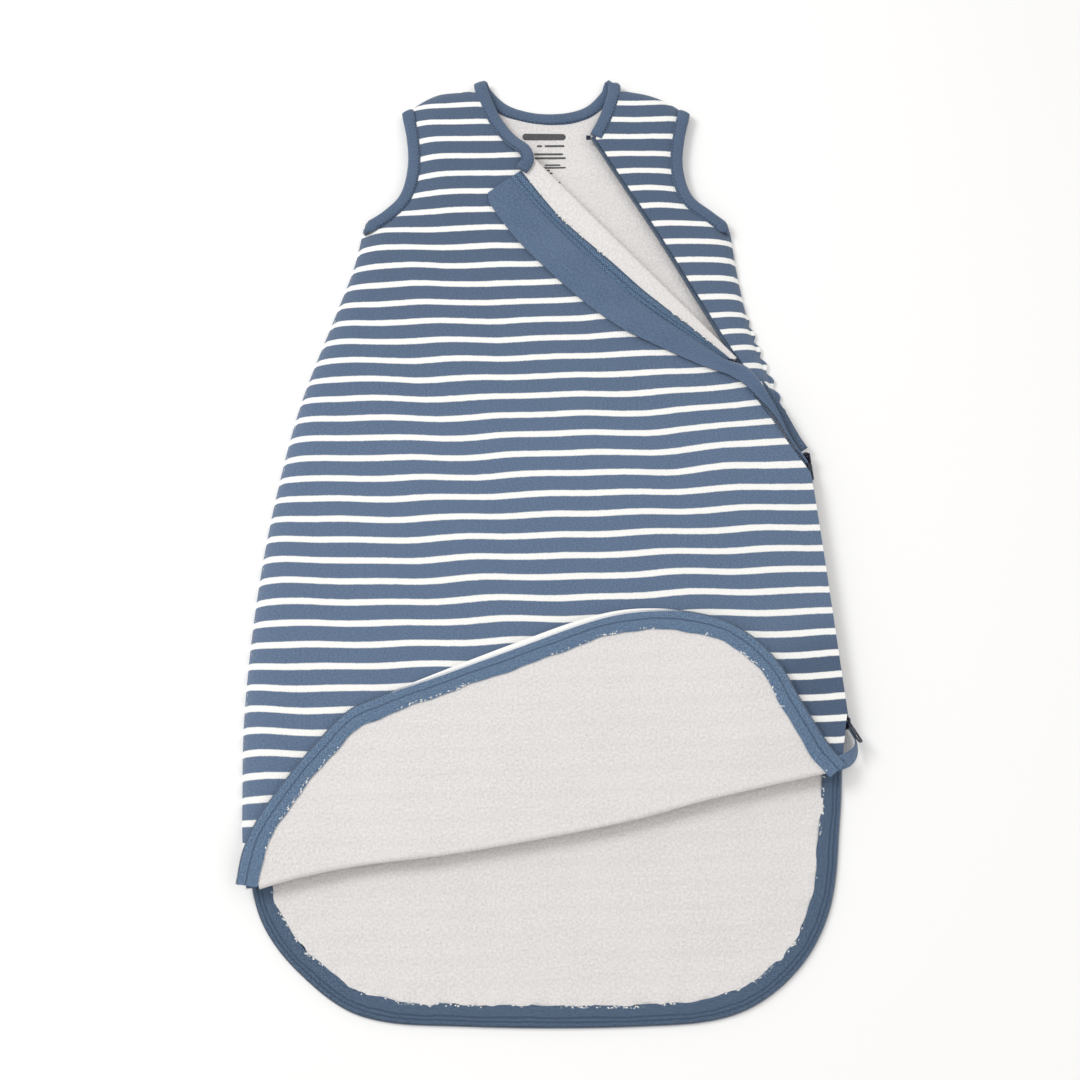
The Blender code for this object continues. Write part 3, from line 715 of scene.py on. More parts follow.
def coil(name, line, normal, width, height, pitch, wire, **rest):
    """Zip coil: a flattened helix of wire along a line; normal points out of the zip's face."""
    turns = int(length_of(line) / pitch)
    steps = 8
    beads = evenly(line, count=turns * steps + 1)
    along = np.gradient(beads, axis=0)
    along /= np.linalg.norm(along, axis=1)[:, None]
    normal = np.asarray(normal, float) * np.ones_like(beads)
    across = np.cross(normal, along)
    across /= np.linalg.norm(across, axis=1)[:, None]
    up = np.cross(along, across)
    angle = 2 * math.pi * np.arange(len(beads)) / steps
    swing, climb = np.cos(angle) * width / 2, np.sin(angle) * height / 2
    points = tube_points(beads + across * swing[:, None] + up * climb[:, None], wire, 4)
    uv = np.repeat(np.column_stack([angle, np.arange(len(beads)) * 0.1]), 4, axis=0)
    faces = tube_faces(0, len(beads), 4)
    return build(name, points, faces, uv, COIL, **rest)


def lift(plan, height):
    """Plan line raised to a height, given as a number or as a function of plan points."""
    z = height(plan) if callable(height) else np.full(len(plan), float(height))
    return np.column_stack([plan[:, :2], z])


# ---------------------------------------------------------------- the bag's surfaces

LEFT = smooth(LEFT_SIDE, 6)
CHAIN = smooth(CHAIN_SIDE, 6)
RIGHT = smooth(RIGHT_SIDE, 6)
ARM_LEFT = smooth(LEFT_ARMHOLE)
ARM_RIGHT = smooth(RIGHT_ARMHOLE)
SHOULDER_LEFT = smooth(LEFT_SHOULDER)
SHOULDER_RIGHT = smooth(RIGHT_SHOULDER)
HEM_LINE = smooth(HEM)
NECKLINE = smooth(NECK_LEFT)
FOLD_ALONG = np.array((math.cos(FOLD_ANGLE), math.sin(FOLD_ANGLE)))
FOLD_AWAY = np.array((-FOLD_ALONG[1], FOLD_ALONG[0]))
CREASE_LENGTH = np.linalg.norm(CREASE_END - CREASE_TOP)
CREASE_ALONG = (CREASE_END - CREASE_TOP) / CREASE_LENGTH
CREASE_AWAY = np.array((CREASE_ALONG[1], -CREASE_ALONG[0]))


def fold_bow(along):
    """How far the soft fold lies from the straight hinge line."""
    rule = smooth(FOLD_BOW, 4)
    return np.interp(along, rule[:, 0], rule[:, 1])


def fold_line(spacing=3.0, low=-206.0, high=198.0):
    """The soft fold in plan, from the left end to the right."""
    along = np.arange(low, high + 0.1, spacing) / math.cos(FOLD_ANGLE)
    return FOLD_POINT + along[:, None] * FOLD_ALONG + fold_bow(along)[:, None] * FOLD_AWAY


def beside_crease(rule, spacing=2.5):
    """Plan line from (distance along the crease, distance from it) points."""
    line = smooth(rule, spacing)
    return CREASE_TOP + line[:, :1] * CREASE_ALONG + line[:, 1:] * CREASE_AWAY


# Shallow folds of the smoothed front: start, end, width and height.
FRONT_FOLDS = [((150, 40), (40, 95), 9, -0.9), ((165, 20), (80, 40), 8, 0.8),
               ((-100, 225), (-30, 240), 12, -0.8), ((-60, 265), (-95, 180), 14, 0.6),
               ((170, -40), (120, -20), 10, -0.7), ((-185, 10), (-130, 30), 12, -0.6),
               ((-195, -90), (-150, -70), 10, -0.6), ((90, -20), (20, 10), 16, 0.5),
               ((120, 60), (70, 10), 10, -0.8), ((150, -60), (110, -95), 9, 0.6)]
# Clear height that the front keeps beside the chain, for the sliders, and how far it reaches.
CHAIN_CLEAR = 12.4
CHAIN_REACH = 13


def front_height(p):
    """Upper face of the main front: full in the middle, rolled down to its seams."""
    side_low = 2.9 + 7.5 * ease((-195 - p[:, 1]) / 45)
    side = (FRONT_TOP - side_low) * (1 - rise(distance(p, LEFT), 22))
    shoulder = 5.5 * (1 - rise(distance(p, SHOULDER_LEFT), 20))
    arm = 5.0 * (1 - rise(distance(p, ARM_LEFT) - 8, 24))
    neck = 1.8 * (1 - rise(distance(p, NECKLINE) - 8, 18)) * ease((p[:, 1] - 280) / 15)
    z = FRONT_TOP - np.minimum(side + shoulder + arm + neck, FRONT_TOP - 2.9)
    calm = ease(distance(p, LEFT) / 40)
    z += calm * (tremble(p, 0.32) - 0.35 + 0.35 * swell(p, 210, 1.3, 0.4))
    z += sum(ridge(p, *fold) for fold in FRONT_FOLDS)
    beside_chain = ease((CHAIN_REACH - distance(p, CHAIN)) / 8)
    return z + beside_chain * (CHAIN_CLEAR - z)


def side_height(p):
    """Upper face of the small right front."""
    side = (SIDE_TOP - 2.9) * (1 - rise(distance(p, RIGHT), 18))
    shoulder = 4.0 * (1 - rise(distance(p, SHOULDER_RIGHT), 18))
    arm = 3.2 * (1 - rise(distance(p, ARM_RIGHT) - 8, 20))
    z = SIDE_TOP - np.minimum(side + shoulder + arm, SIDE_TOP - 2.9)
    return z + tremble(p, 0.25) - 0.2 + ridge(p, (60, 300), (100, 230), 9, -0.6)


def back_height(p):
    """Upper face of the back's outer cloth, nearly flat on the table."""
    return np.full(len(p), BACK_TOP)


def back_lining_height(p):
    """Upper face of the back's lining, with the shallow ripples of unpressed cloth."""
    hem = ease((-180 - p[:, 1]) / 60)
    ripple = 0.25 * swell(p, 34, 1.75, 0.6) * ease((swell(p, 260, 0.2, 0.5) + 0.6) / 1.4)
    z = BACK_LINING_TOP + 0.25 + tremble(p, 0.3) + hem * (ripple + 0.25)
    near = np.exp(-((distance(p, HEM_LINE) - BAND_WIDTH - 3) / 6) ** 2)
    pucker = 0.55 * np.sin((p[:, 0] - 0.7 * p[:, 1]) / 3.4) + 0.4 * np.sin((p[:, 0] + p[:, 1]) / 5.3)
    z += near * (0.75 + pucker)
    z += ridge(p, (-150, -285), (-60, -270), 7, 0.45) + ridge(p, (40, -310), (130, -290), 6, 0.4)
    z += ridge(p, (20, 262), (60, 205), 7, 0.8) + ridge(p, (35, 290), (75, 235), 6, -0.4)
    return z


def make_back():
    """Back panel, its lining and the closing edge of the hem."""
    neck = offset(smooth(BACK_NECK), -5.0)
    arm_left, arm_right = offset(ARM_LEFT, -4.0), offset(ARM_RIGHT, 4.0)
    left = evenly(LEFT[LEFT[:, 1] > -236], 4)
    top = [arm_right, SHOULDER_RIGHT[::-1], neck[::-1], SHOULDER_LEFT[::-1], arm_left[::-1]]
    hem = offset(HEM_LINE, 2.4)
    ring = np.vstack([left, hem, CHAIN[1:] - (1.5, 0), RIGHT, *top])
    panel("back_cloth", clean(ring), back_height, STRIPED, 6, nodes=["back_outer"], thickness=CLOTH)
    inner = offset(HEM_LINE, BAND_WIDTH - 0.6 + wavy(HEM_LINE, 1.0, 24.0))
    inside_left = offset(left, 2.5)
    ring = np.vstack([inside_left[:-3], inner, CHAIN[1:] - (9, 0), RIGHT - (3, 0), *top])
    panel("back_lining_cloth", clean(ring), back_lining_height, BRUSHED, 4, nodes=["back_lining"],
          thickness=LINING)


def make_front():
    """Main front above the fold and its lining."""
    crease = CREASE_TOP + np.linspace(-4, CREASE_LENGTH, 60)[:, None] * CREASE_ALONG
    run = smooth(RUN_LEFT)[2:-2]
    arm = offset(ARM_LEFT, -4.0)
    neck = offset(NECKLINE, 5.0)
    left = LEFT[: np.argmin(np.abs(LEFT[:, 1] + 255)) + 1]
    chain = CHAIN[1:][CHAIN[1:, 1] < 31]
    ring = np.vstack([evenly(left, 3), fold_line()[2:], chain, run[::-1], crease[::-1], neck[2:],
                      SHOULDER_LEFT[::-1], arm[::-1]])
    ring = clean(ring)
    panel("front_cloth", ring, front_height, STRIPED, 3.2, nodes=["front_outer"], thickness=CLOTH)
    under = ring + (np.array((0.0, -60.0)) - ring) * 0.006
    under = under[distance(under, CHAIN) > 7.5]
    panel("front_lining_cloth", clean(under), lambda p: front_height(p) - CLOTH - 0.35, BRUSHED, 6,
          nodes=["front_lining"], thickness=LINING)


def make_side_front():
    """Small right front with its lining, and the zip's tape and coil beside its edge."""
    zip_edge = smooth(RIGHT_ZIP)
    edge = offset(zip_edge, 3.0)
    arm = offset(ARM_RIGHT, 4.0)
    neck = offset(smooth(NECK_RIGHT), -5.0)
    ring = clean(np.vstack([RIGHT, arm, SHOULDER_RIGHT[::-1], neck[::-1][:-1], edge[1:]]))
    panel("side_front_cloth", ring, side_height, STRIPED, 3.2, nodes=["side_front_outer"], thickness=CLOTH)
    under = ring + (np.array((115.0, 200.0)) - ring) * 0.02
    panel("side_front_lining_cloth", clean(under), lambda p: side_height(p) - CLOTH - 0.35, BRUSHED, 6,
          nodes=["side_front_lining"], thickness=LINING)
    line = lift(offset(zip_edge, 0.9), 8.6)
    sweep("zip_tape_right", lift(offset(zip_edge, 3.4), 8.1), with_z(sideways(zip_edge)),
          soft_profile(5.5, 0.7, 8), TAPE, nodes=["zip_tape_neck_right"])
    coil("zip_coil_right", line, UP, 2.2, 1.5, COIL_PITCH, COIL_WIRE, nodes=["zip_coil_neck_right"])


# ---------------------------------------------------------------- the flap


def flap_height(p):
    """Upper face of the flap's outer cloth, which is turned down on the front."""
    rel = p - FOLD_POINT
    out = rel @ FOLD_AWAY
    along = rel @ FOLD_ALONG
    far = ease(out / 90)
    z = np.full(len(p), FLAP_UNDER + CLOTH + 0.05)
    z += far * (0.9 + 0.7 * np.sin(along / 38 + 0.8) + 0.4 * np.sin(along / 17))
    z += ridge(p, (-150, -175), (-120, -160), 14, 1.0) + ridge(p, (120, -110), (90, -130), 18, 0.8)
    z += ridge(p, (-175, -225), (-150, -235), 12, 0.9) + ridge(p, (172, -182), (140, -178), 9, 1.0)
    z += 3.2 * ease((along - 95) / 60) * ease((out - 8) / 30)
    return z


def flap_lining_height(p):
    """Upper face of the flap's lining, which runs on from the roll of the fold without a step."""
    out = (p - FOLD_POINT) @ FOLD_AWAY - fold_bow((p - FOLD_POINT) @ FOLD_ALONG)
    top = flap_height(p) + LINING + 0.2
    return ROLL_Z + ROLL + ease(out / 25) * (top - ROLL_Z - ROLL)


def make_flap():
    """Folded-up hem: striped cloth underneath, lining on top, and the zip's tape round its edge."""
    edge = evenly(smooth(FLAP_EDGE), 2.5)
    stick = 1.2 * ease((edge[:, 0] + 130) / 60) * ease((95 - edge[:, 0]) / 60)
    cloth_edge = offset(edge, 1.2 - stick)
    start = fold_line(3.0, -192, 193)
    ring = clean(np.vstack([start, cloth_edge[3:-3]]))
    cloth = panel("flap_cloth", ring, flap_height, STRIPED, 4, body="flap", nodes=["flap_outer"],
                  thickness=CLOTH)
    stripe_seam(cloth, turned_out(cloth, FOLD_POINT, FOLD_AWAY))
    seam = offset(edge, BAND_WIDTH - 1.5)
    seam = seam[(seam - FOLD_POINT) @ FOLD_AWAY > 6]
    ring = clean(np.vstack([fold_line(3.0, -191, 192), seam]))
    panel("flap_lining_cloth", ring, flap_lining_height, BRUSHED, 3.5, body="flap", nodes=["flap_lining"],
          thickness=LINING)
    rows = []
    inner = BAND_WIDTH + wavy(edge, 0.8)
    section = [(0, 0.65), (0.06, 1.35), (0.16, 1.1), (0.3, 1.45), (0.7, 1.5), (0.93, 1.6), (1.0, 1.25)]
    for share, up in section:
        line = offset(edge, 1.0 + (inner - 1.0) * share)
        rows.append(lift(line, lambda q, up=up: flap_height(q) + up))
    loft("flap_band", rows[::-1], FLAP_TAPE, body="flap", nodes=["zip_tape_hem_front"], thickness=0.9)
    lip = edge[(edge[:, 0] > -112) & (edge[:, 0] < 92)]
    size = 4.2 * np.sin(np.linspace(0, math.pi, len(lip))) ** 0.5
    rows = [lift(offset(lip, 1.0 - size * s), lambda q, s=s: flap_height(q) + 0.6 - 1.1 * s)
            for s in np.linspace(0, 1, 6)]
    loft("flap_lip", rows, STRIPED, stripe=-1.6, body="flap", thickness=1.0)
    line = lift(offset(edge, 0.3), lambda q: flap_height(q) + 0.5)
    coil("zip_coil_flap", line, UP, 2.0, 1.5, COIL_PITCH, COIL_WIRE, body="flap",
         nodes=["zip_coil_hem_front"])
    seam_line = lift(offset(edge, 2.9), lambda q: flap_height(q) + 1.4)
    middle_line = lift(offset(edge, 6.4), lambda q: flap_height(q) + 1.5)
    rows = stitch_row(seam_line) + stitch_row(middle_line)
    threads("flap_band_stitches", rows, 0.3, PALE_THREAD, body="flap")
    flecks("flap_band_flecks", lift(offset(edge, inner - 0.7), lambda q: flap_height(q) + 1.7), 0.2, 3,
           body="flap")


def make_roll(name, line, away, side, opened=None):
    """Soft roll of lining and cloth, half a turn about a hinge, joining the front to what is turned over."""
    for part, radius, material in (("_lining", ROLL, BRUSHED), ("_cloth", ROLL - LINING - 0.2, STRIPED)):
        rows = []
        for k in range(ROLL_ROWS):
            angle = math.pi * (k / (ROLL_ROWS - 1) - 0.5)
            rows.append(lift(line - away * (radius * math.cos(angle)), ROLL_Z + radius * math.sin(angle)))
        obj = loft(name + part, rows, material, body=None, thickness=CLOTH, side=side)
        stripe_seam(obj, opened)
        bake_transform(obj)


def make_fold_roll():
    """The roll along the fold of the hem, whose stripes run across it as if it were opened out."""
    line = fold_line(3.0, -191, 193)
    bow = ((line - FOLD_POINT) @ FOLD_AWAY)[:, None] * FOLD_AWAY
    opened = np.vstack([line - bow * 2 * k / (ROLL_ROWS - 1) for k in range(ROLL_ROWS)])
    make_roll("fold_roll", line, FOLD_AWAY, -1, opened)


def make_hem():
    """Zip tape and coil round the back's hem, with their stitches and the loose white serging."""
    edge = HEM_LINE[HEM_LINE[:, 1] < -150]
    inner = BAND_WIDTH + wavy(edge, 0.9)
    rows = []
    for share, up in ((0, 0.9), (0.05, 1.5), (0.13, 1.25), (0.3, 1.55), (0.7, 1.6), (0.92, 1.9), (1.0, 1.5)):
        line = lift(offset(edge, 1.6 + (inner - 1.6) * share), BACK_TOP + 0.35 + up)
        line[:, 2] += wavy(edge, 0.35 * share, 19.0)
        rows.append(line)
    loft("hem_band", rows[::-1], TAPE, nodes=["zip_tape_hem_back"], thickness=0.9)
    coil("zip_coil_hem", lift(offset(edge, 0.9), 1.25), UP, 2.1, 1.5, COIL_PITCH, COIL_WIRE,
         nodes=["zip_coil_hem_back"])
    seam_line = lift(offset(edge, 3.6), BACK_TOP + 2.0)
    middle_line = lift(offset(edge, 7.4), BACK_TOP + 2.05)
    threads("hem_band_stitches", stitch_row(seam_line) + stitch_row(middle_line), 0.3, BLUE_THREAD)
    flecks("hem_band_flecks", lift(offset(edge, inner - 0.6), BACK_TOP + 2.45), 0.19, 5)


# ---------------------------------------------------------------- the lapel and the guard


def lapel_height(p):
    """Upper face of the lapel's cloth, falling slightly away from its crease."""
    out = (p - CREASE_TOP) @ CREASE_AWAY
    wander = 0.25 * np.sin(((p - CREASE_TOP) @ CREASE_ALONG) / 21 + 0.5)
    return ROLL_Z + ROLL + (wander - 0.9) * ease(out / 14)


def make_lapel():
    """Turned-back edge of the front: strip of lining, serged tape and the roll of the crease."""
    seam = beside_crease(LAPEL_SEAM)
    tape = beside_crease(LAPEL_TAPE)
    span = np.linspace(-4, 217, len(seam))
    crease = CREASE_TOP + span[:, None] * CREASE_ALONG
    rows = [lift(crease + (seam - crease) * s, lapel_height) for s in np.linspace(0, 1, 7)]
    loft("lapel_lining_cloth", rows, BRUSHED, body="lapel", nodes=["lapel_lining"], thickness=1.0, side=1)
    under = [r - (0, 0, 1.3) for r in rows]
    cloth = loft("lapel_cloth", under, STRIPED, body="lapel", nodes=["lapel_outer"], thickness=1.0, side=1)
    stripe_seam(cloth, turned_out(cloth, CREASE_TOP, CREASE_AWAY))
    tape = evenly(tape, count=len(seam))
    rows = []
    section = [(0, 0.1), (0.08, 0.75), (0.35, 0.6), (0.5, 0.85), (0.65, 0.6), (0.92, 0.75), (1.0, 0.0)]
    for share, up in section:
        rows.append(lift(seam + (tape - seam) * share, lambda q, up=up: lapel_height(q) + up))
    loft("lapel_tape", rows, SERGED, body="lapel", nodes=["zip_tape_neck_left"], thickness=0.8, side=1)
    for name, share in (("outer", 0.3), ("inner", 0.75)):
        line = lift(seam + (tape - seam) * share, lambda q: lapel_height(q) + 0.8)
        rows = stitch_row(line, 1.3, 1.9, 0.3, 0.35)
        threads("lapel_stitches_" + name, rows, 0.26, BLUE_THREAD, body="lapel")
    flecks("lapel_flecks", lift(seam, lambda q: lapel_height(q) + 0.7), 0.08, 11, body="lapel")
    line = lift(beside_crease([(a, b + 2.0) for a, b in LAPEL_TAPE]), lambda q: lapel_height(q) - 1.4)
    coil("zip_coil_left", line[:-6], UP, 2.0, 1.4, COIL_PITCH, COIL_WIRE, body="lapel",
         nodes=["zip_coil_neck_left"])
    crease = CREASE_TOP + np.linspace(-4, CREASE_LENGTH, 75)[:, None] * CREASE_ALONG
    make_roll("crease_roll", crease, CREASE_AWAY, 1)


def make_guard():
    """Plain knit guard behind the neck zip, narrowing and twisting down to the top slider."""
    run = smooth(RUN_LEFT)
    run = offset(run, -0.9 + 3.0 * ease((np.linspace(0, 1, len(run)) - 0.25) / 0.35))
    outer = np.vstack([beside_crease(GUARD_EDGE), run[3:]])
    inner = np.vstack([beside_crease([(a, b - 0.6) for a, b in LAPEL_TAPE]), smooth(RUN_RIGHT)[2:]])
    count = 130
    outer, inner = evenly(outer, count=count), evenly(inner, count=count)
    far = np.linspace(0, 1, count)
    rows = []
    for s in np.linspace(0, 1, 15):
        plan = inner + (outer - inner) * s
        z = 15.5 - 1.1 * s + 0.35 * np.sin(far * 22 + s * 3) - 1.4 * (1 - ease(s / 0.12))
        gather = ease((far - 0.5) / 0.25) * (1 - ease((far - 0.85) / 0.1))
        z += gather * (1.3 * np.sin(s * 9 + far * 7) * (1 - s) + 0.8)
        z -= 2.8 * ease((far - 0.84) / 0.16)
        z += 0.5 * math.sin(math.pi * s) * ease((far - 0.7) / 0.2)
        rows.append(lift(plan, 0) + np.column_stack([np.zeros((count, 2)), z]))
    obj = loft("zip_guard_cloth", rows, GUARD, body=None, nodes=["zip_guard", "zip_guard_end"],
               thickness=1.1, side=1)
    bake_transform(obj)
    run = lift(offset(smooth(RUN_LEFT), 0.6), lambda q: 14.1 - 4.2 * ease((112 - q[:, 1]) / 80))
    coil("zip_coil_run", run[10:], UP, 3.2, 2.0, 1.6, 0.56, nodes=["zip_coil_neck_run"])


# ---------------------------------------------------------------- bindings and seams


def make_armhole(name, node, line, inward, front):
    """Binding round an armhole: over the front's edge, round the shoulder, and back along the back's edge."""
    line = line[1:-1]
    centre = offset(line, inward * 5.0)
    away = with_z(sideways(line) * -inward)
    first, last = centre[0] - centre[1], centre[-1] - centre[-2]
    first, last = first / np.linalg.norm(first), last / np.linalg.norm(last)
    mid = (front + 1.6) / 2
    over_seam = ((1.5, front - 1.2), (2.6, mid), (1.5, 2.6))
    shoulder = [(*(centre[-1] + last * reach), z) for reach, z in over_seam]
    corner = centre[0] + (inward * 2.6, -0.4)
    underarm = [(*(corner + first * reach), z) for reach, z in ((0.5, 2.6), (1.0, mid), (0.5, front - 1.4))]
    over = lift(centre, front + 0.19)
    back = lift(centre[::-1], 1.85)
    path = np.vstack([over, shoulder, back, underarm])
    top, low = (0.88 * inward, -0.47, 0), (-0.3 * inward, 0.95, 0)
    across = np.vstack([away, [top] * 3, away[::-1], [low] * 3])
    sweep(name, path, across, soft_profile(9.4, 3.5, 16, 2.3), TRIM, closed=True, nodes=[node])
    seam = lift(offset(line, inward * 8.6), front + 1.35)
    threads(name + "_stitches", stitch_row(seam[1:-1], 2.5, 2.9), BINDING_STITCH, BLUE_THREAD)


def make_neck():
    """Binding of the neckline, from the lapel round the back to the small right front."""
    knots = NECK_FRONT + NECK_REAR + NECK_SIDE
    places = np.array([place for place, _ in knots], float)
    widths = np.array([(*wide, 0) for _, wide in knots], float)
    path = smooth([tuple(p) for p in places], 2.0)
    nearest = np.argmin(np.linalg.norm(path[:, None] - places[None], axis=2), axis=0)
    across = np.stack([np.interp(np.arange(len(path)), nearest, widths[:, k]) for k in range(3)], axis=1)
    band = sweep("neck_binding_band", path, across, soft_profile(9.8, 3.5, 16, 2.3), TRIM, body=None,
                 nodes=["neck_binding"])
    unit = across / np.linalg.norm(across, axis=1)[:, None]
    line = path + np.array((0, 0, 1.35)) - unit * 3.7
    rows = []
    for first, last in ((nearest[1], nearest[5] - 2), (nearest[8] - 4, nearest[12] + 4), (nearest[15], None)):
        rows += stitch_row(line[first:last], 2.5, 2.9)
    seam = threads("neck_binding_stitches", rows, BINDING_STITCH, BLUE_THREAD, body=None)
    for obj in (band, seam):
        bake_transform(obj)


def make_seams():
    """Seams that close the sides and the shoulders, as soft ridges under the front's edge."""
    ruffle = evenly(RIGHT[1:-1], 1.5)
    deep = ease((ruffle[:, 1] - 58) / 15) * ease((165 - ruffle[:, 1]) / 30)
    ruffle = offset(ruffle, 1.8 - deep * (1.6 + 1.5 * np.sin(ruffle[:, 1] / 1.95)))
    for name, line, z in (("side_seam_left", offset(LEFT[2:-2], 1.6), 2.2),
                          ("side_seam_right", ruffle, 2.2),
                          ("shoulder_seam_left", offset(SHOULDER_LEFT, -2), 4.0),
                          ("shoulder_seam_right", offset(SHOULDER_RIGHT, -2), 3.4)):
        seam = sweep(name + "_ridge", lift(line, z), with_z(sideways(line)), soft_profile(3.4, 2.0, 10),
                     STRIPED, nodes=[name])
        stripe_seam(seam)


def make_side_zip():
    """Closed chain down the right side: two interlocked coils between their tapes."""
    down = (CHAIN_END - CHAIN_TOP) / np.linalg.norm(CHAIN_END - CHAIN_TOP)
    outward = np.array((-down[1], down[0], 0))
    face = outward * math.cos(CHAIN_TILT) + np.array((0, 0, math.sin(CHAIN_TILT)))
    across = np.cross(face, down)
    middle = np.linspace(CHAIN_TOP - down * 3.4, CHAIN_END + down * 3.4, 80)
    for half, side in (("front", -1), ("back", 1)):
        coil("zip_coil_side_" + half + "_wire", middle + across * side * 1.15, face, 1.3, 1.2, COIL_PITCH,
             0.3, nodes=["zip_coil_side_" + half])
        sweep("zip_tape_side_" + half + "_weave", middle + across * side * 3.4,
              np.repeat(across[None], 80, axis=0), soft_profile(2.6, 0.6, 8), TAPE,
              nodes=["zip_tape_side_" + half])


def make_loop():
    """Loop of zip tape that curls from the bottom slider over to the flap's corner."""
    path = smooth([(202.5, -156, 7.6), (206, -163.5, 8.2), (205.5, -171, 9.4), (200, -177, 12),
                   (192, -180.5, 15), (186.5, -182, 16.1)], 1.5)
    t = np.linspace(0, 1, len(path))[:, None]
    across = np.array((-0.25, 0.1, 1)) * (1 - t) ** 1.5 + np.array((-0.3, 0.95, 0.05)) * t**1.5
    sweep("zip_tape_loop_weave", path, across, soft_profile(10.0, 1.2, 12), FLAP_TAPE,
          nodes=["zip_tape_loop"])


def make_end_stop():
    """Small crimp on the zip's end, tucked under the flap's tape."""
    line = np.array([(-204.6, -246, 3.4), (-204.9, -248, 3.4), (-205.2, -250, 3.4), (-205.4, -252, 3.4)])
    across = np.repeat([[1.0, 0.1, 0.0]], len(line), axis=0)
    sweep("zip_end_crimp", line, across, soft_profile(3.0, 2.4, 12, 3.0), ENAMEL, nodes=["zip_end_stop"])


def make_print():
    """Generic bars in place of the print inside the back neck."""
    points, faces = [], []
    rows = [(299.5, 5.5, [(-21, 12)]), (293.6, 1.6, [(-10, -6), (-4, 11)]), (286.6, 1.5, [(-12, 10)]),
            (283.3, 1.5, [(-12, 12)]), (277.6, 1.2, [(-4, 8)]), (275.3, 1.2, [(-10, 12)]),
            (273, 1.2, [(-8, 0)]), (270.7, 1.2, [(-6, 2)]), (262.6, 1.2, [(0, 8)]), (255, 1.2, [(6, 10)])]
    for y, tall, bars in rows:
        for left, right in bars:
            base = len(points)
            bevel = min(tall, right - left) * 0.3
            top = y + tall
            corners = [(left + bevel, y), (right - bevel, y), (right, y + bevel), (right, top - bevel),
                       (right - bevel, top), (left + bevel, top), (left, top - bevel), (left, y + bevel)]
            plan = np.array(corners)
            z = back_lining_height(plan) + 0.12
            points += [(*p, h) for p, h in zip(corners, z)]
            faces.append(list(range(base, base + len(corners))))
    build("neck_print_bars", points, faces, np.array(points)[:, :2], INK, nodes=["neck_print"],
          thickness=0.12, side=1)


# ---------------------------------------------------------------- metal, light and camera


def paint_metal():
    for name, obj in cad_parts.items():
        if name.startswith(("slider", "pull", "zip_stop", "zip_end")):
            obj.data.materials.clear()
            obj.data.materials.append(ENAMEL)


def area_light(name, place, aim, size, power, colour):
    light = bpy.data.lights.new(name, "AREA")
    light.shape = "DISK"
    light.size = size
    light.energy = power
    light.color = colour
    obj = bpy.data.objects.new(name, light)
    obj.location = place
    obj.rotation_euler = (Vector(aim) - Vector(place)).to_track_quat("-Z", "Y").to_euler()
    bpy.context.scene.collection.objects.link(obj)


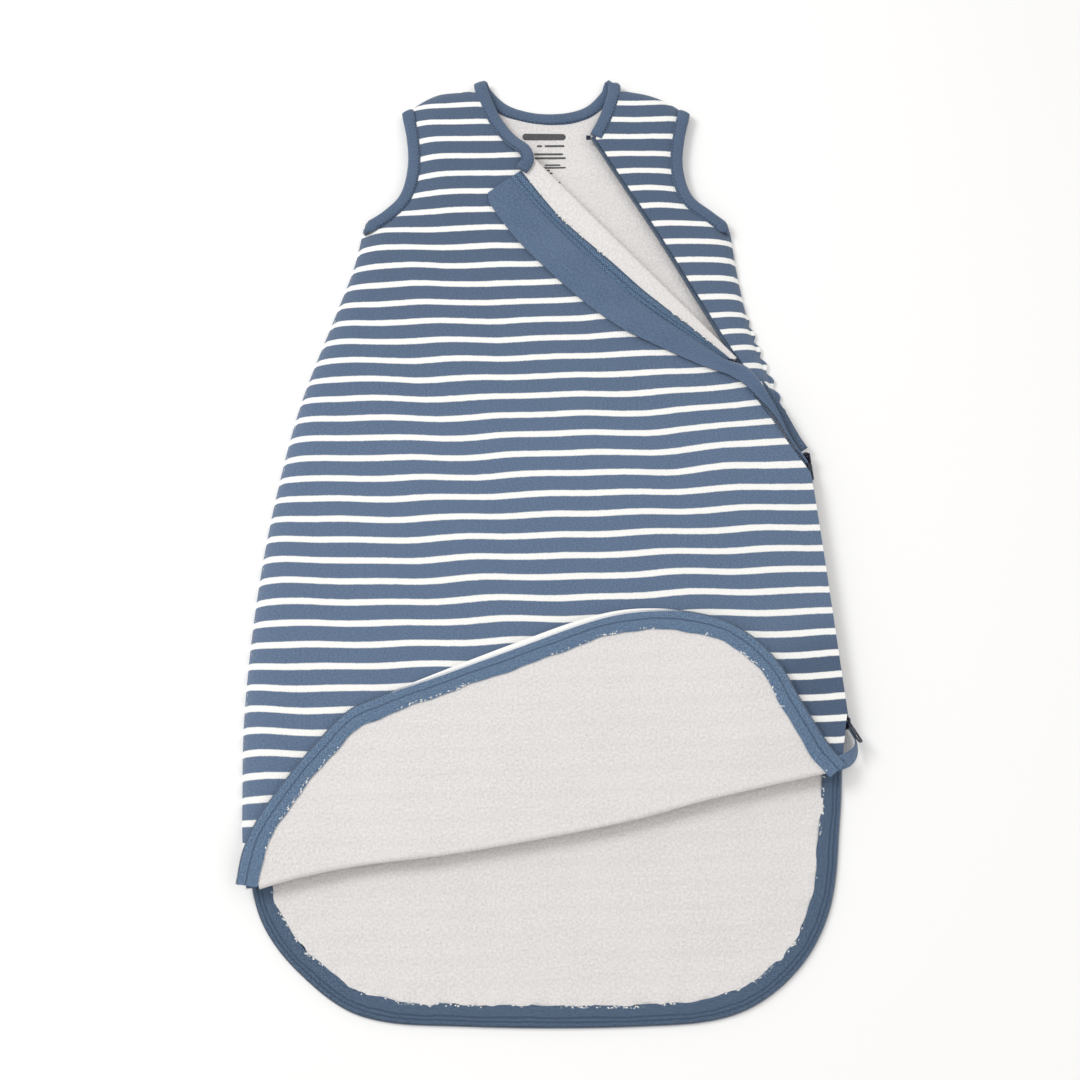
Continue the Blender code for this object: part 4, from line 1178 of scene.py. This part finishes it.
def make_studio():
    """White table, soft light from the upper left, and the camera nearly overhead."""
    mesh = bpy.data.meshes.new("table")
    mesh.from_pydata([(-4, -4, 0), (4, -4, 0), (4, 4, 0), (-4, 4, 0)], [], [(0, 1, 2, 3)])
    table = bpy.data.objects.new("table", mesh)
    bpy.context.scene.collection.objects.link(table)
    white = bpy.data.materials.new("table_white")
    white.use_nodes = True
    white.node_tree.nodes["Principled BSDF"].inputs["Base Color"].default_value = (0.93, 0.925, 0.92, 1)
    white.node_tree.nodes["Principled BSDF"].inputs["Roughness"].default_value = 0.9
    mesh.materials.append(white)
    world = bpy.data.worlds.new("studio")
    world.use_nodes = True
    world.node_tree.nodes["Background"].inputs["Color"].default_value = (1, 0.988, 0.972, 1)
    world.node_tree.nodes["Background"].inputs["Strength"].default_value = 0.755
    bpy.context.scene.world = world
    bpy.context.scene.view_settings.view_transform = "Standard"
    area_light("key", (-1.1, 0.6, 1.4), (0, 0, 0), 0.8, 15, (0.965, 0.985, 1.0))
    area_light("fill", (0.9, -0.6, 1.6), (0, 0, 0), 1.4, 4, (0.96, 0.98, 1.0))
    camera = bpy.data.cameras.new("camera")
    camera.lens = 53.33
    camera.sensor_width = 36
    obj = bpy.data.objects.new("camera", camera)
    obj.location = (-0.0076, -0.3517, 1.0836)
    obj.rotation_euler = (math.radians(17.05), 0, 0)
    bpy.context.scene.collection.objects.link(obj)
    bpy.context.scene.camera = obj


def plan_area(obj):
    """Area of a panel seen in plan, in square metres, taken as what its cloth was cut to."""
    points = points_of(obj) * MM
    total = 0.0
    for face in obj.data.polygons:
        x, y, _ = points[list(face.vertices)].T
        total += abs(np.dot(x, np.roll(y, -1)) - np.dot(y, np.roll(x, -1))) / 2
    return total


def declare_cloth():
    """Table of what each sheet was cut to, how it is held, what it lies on and which pieces are sewn to it;
    only each sheet's area in plan is worked out from it, and nothing is kept.
    """
    panels = [
        ("back_cloth", (0.412, 0.690), "laid", [],
         ["armhole_band_left", "armhole_band_right", "neck_binding_band", "side_seam_left_ridge",
          "side_seam_right_ridge", "zip_tape_side_back_weave"]),
        ("back_lining_cloth", (0.405, 0.675), "laid", ["back_cloth"], []),
        ("front_lining_cloth", (0.402, 0.600), "laid", ["back_lining_cloth"], []),
        ("front_cloth", (0.412, 0.602), "laid", ["front_lining_cloth"],
         ["shoulder_seam_left_ridge", "zip_tape_side_front_weave"]),
        ("side_front_lining_cloth", (0.080, 0.315), "laid", ["back_lining_cloth"], []),
        ("side_front_cloth", (0.082, 0.320), "laid", ["side_front_lining_cloth"],
         ["shoulder_seam_right_ridge", "zip_tape_right"]),
        ("flap_cloth", (0.402, 0.190), "folded", ["front_cloth"], ["fold_roll_cloth", "flap_lip"]),
        ("flap_lining_cloth", (0.386, 0.178), "folded", ["flap_cloth"], ["fold_roll_lining"]),
    ]
    for name, flat, held, rests_on, pieces in panels:
        obj = bpy.data.objects[name]
        plan_area(obj)


make_studio()
make_back()
make_front()
make_side_front()
make_hem()
make_flap()
make_fold_roll()
make_lapel()
make_guard()
make_armhole("armhole_band_left", "armhole_binding_left", ARM_LEFT, -1, 8.6)
make_armhole("armhole_band_right", "armhole_binding_right", ARM_RIGHT, 1, 7.4)
make_neck()
make_seams()
make_side_zip()
make_loop()
make_end_stop()
make_print()
paint_metal()
declare_cloth()
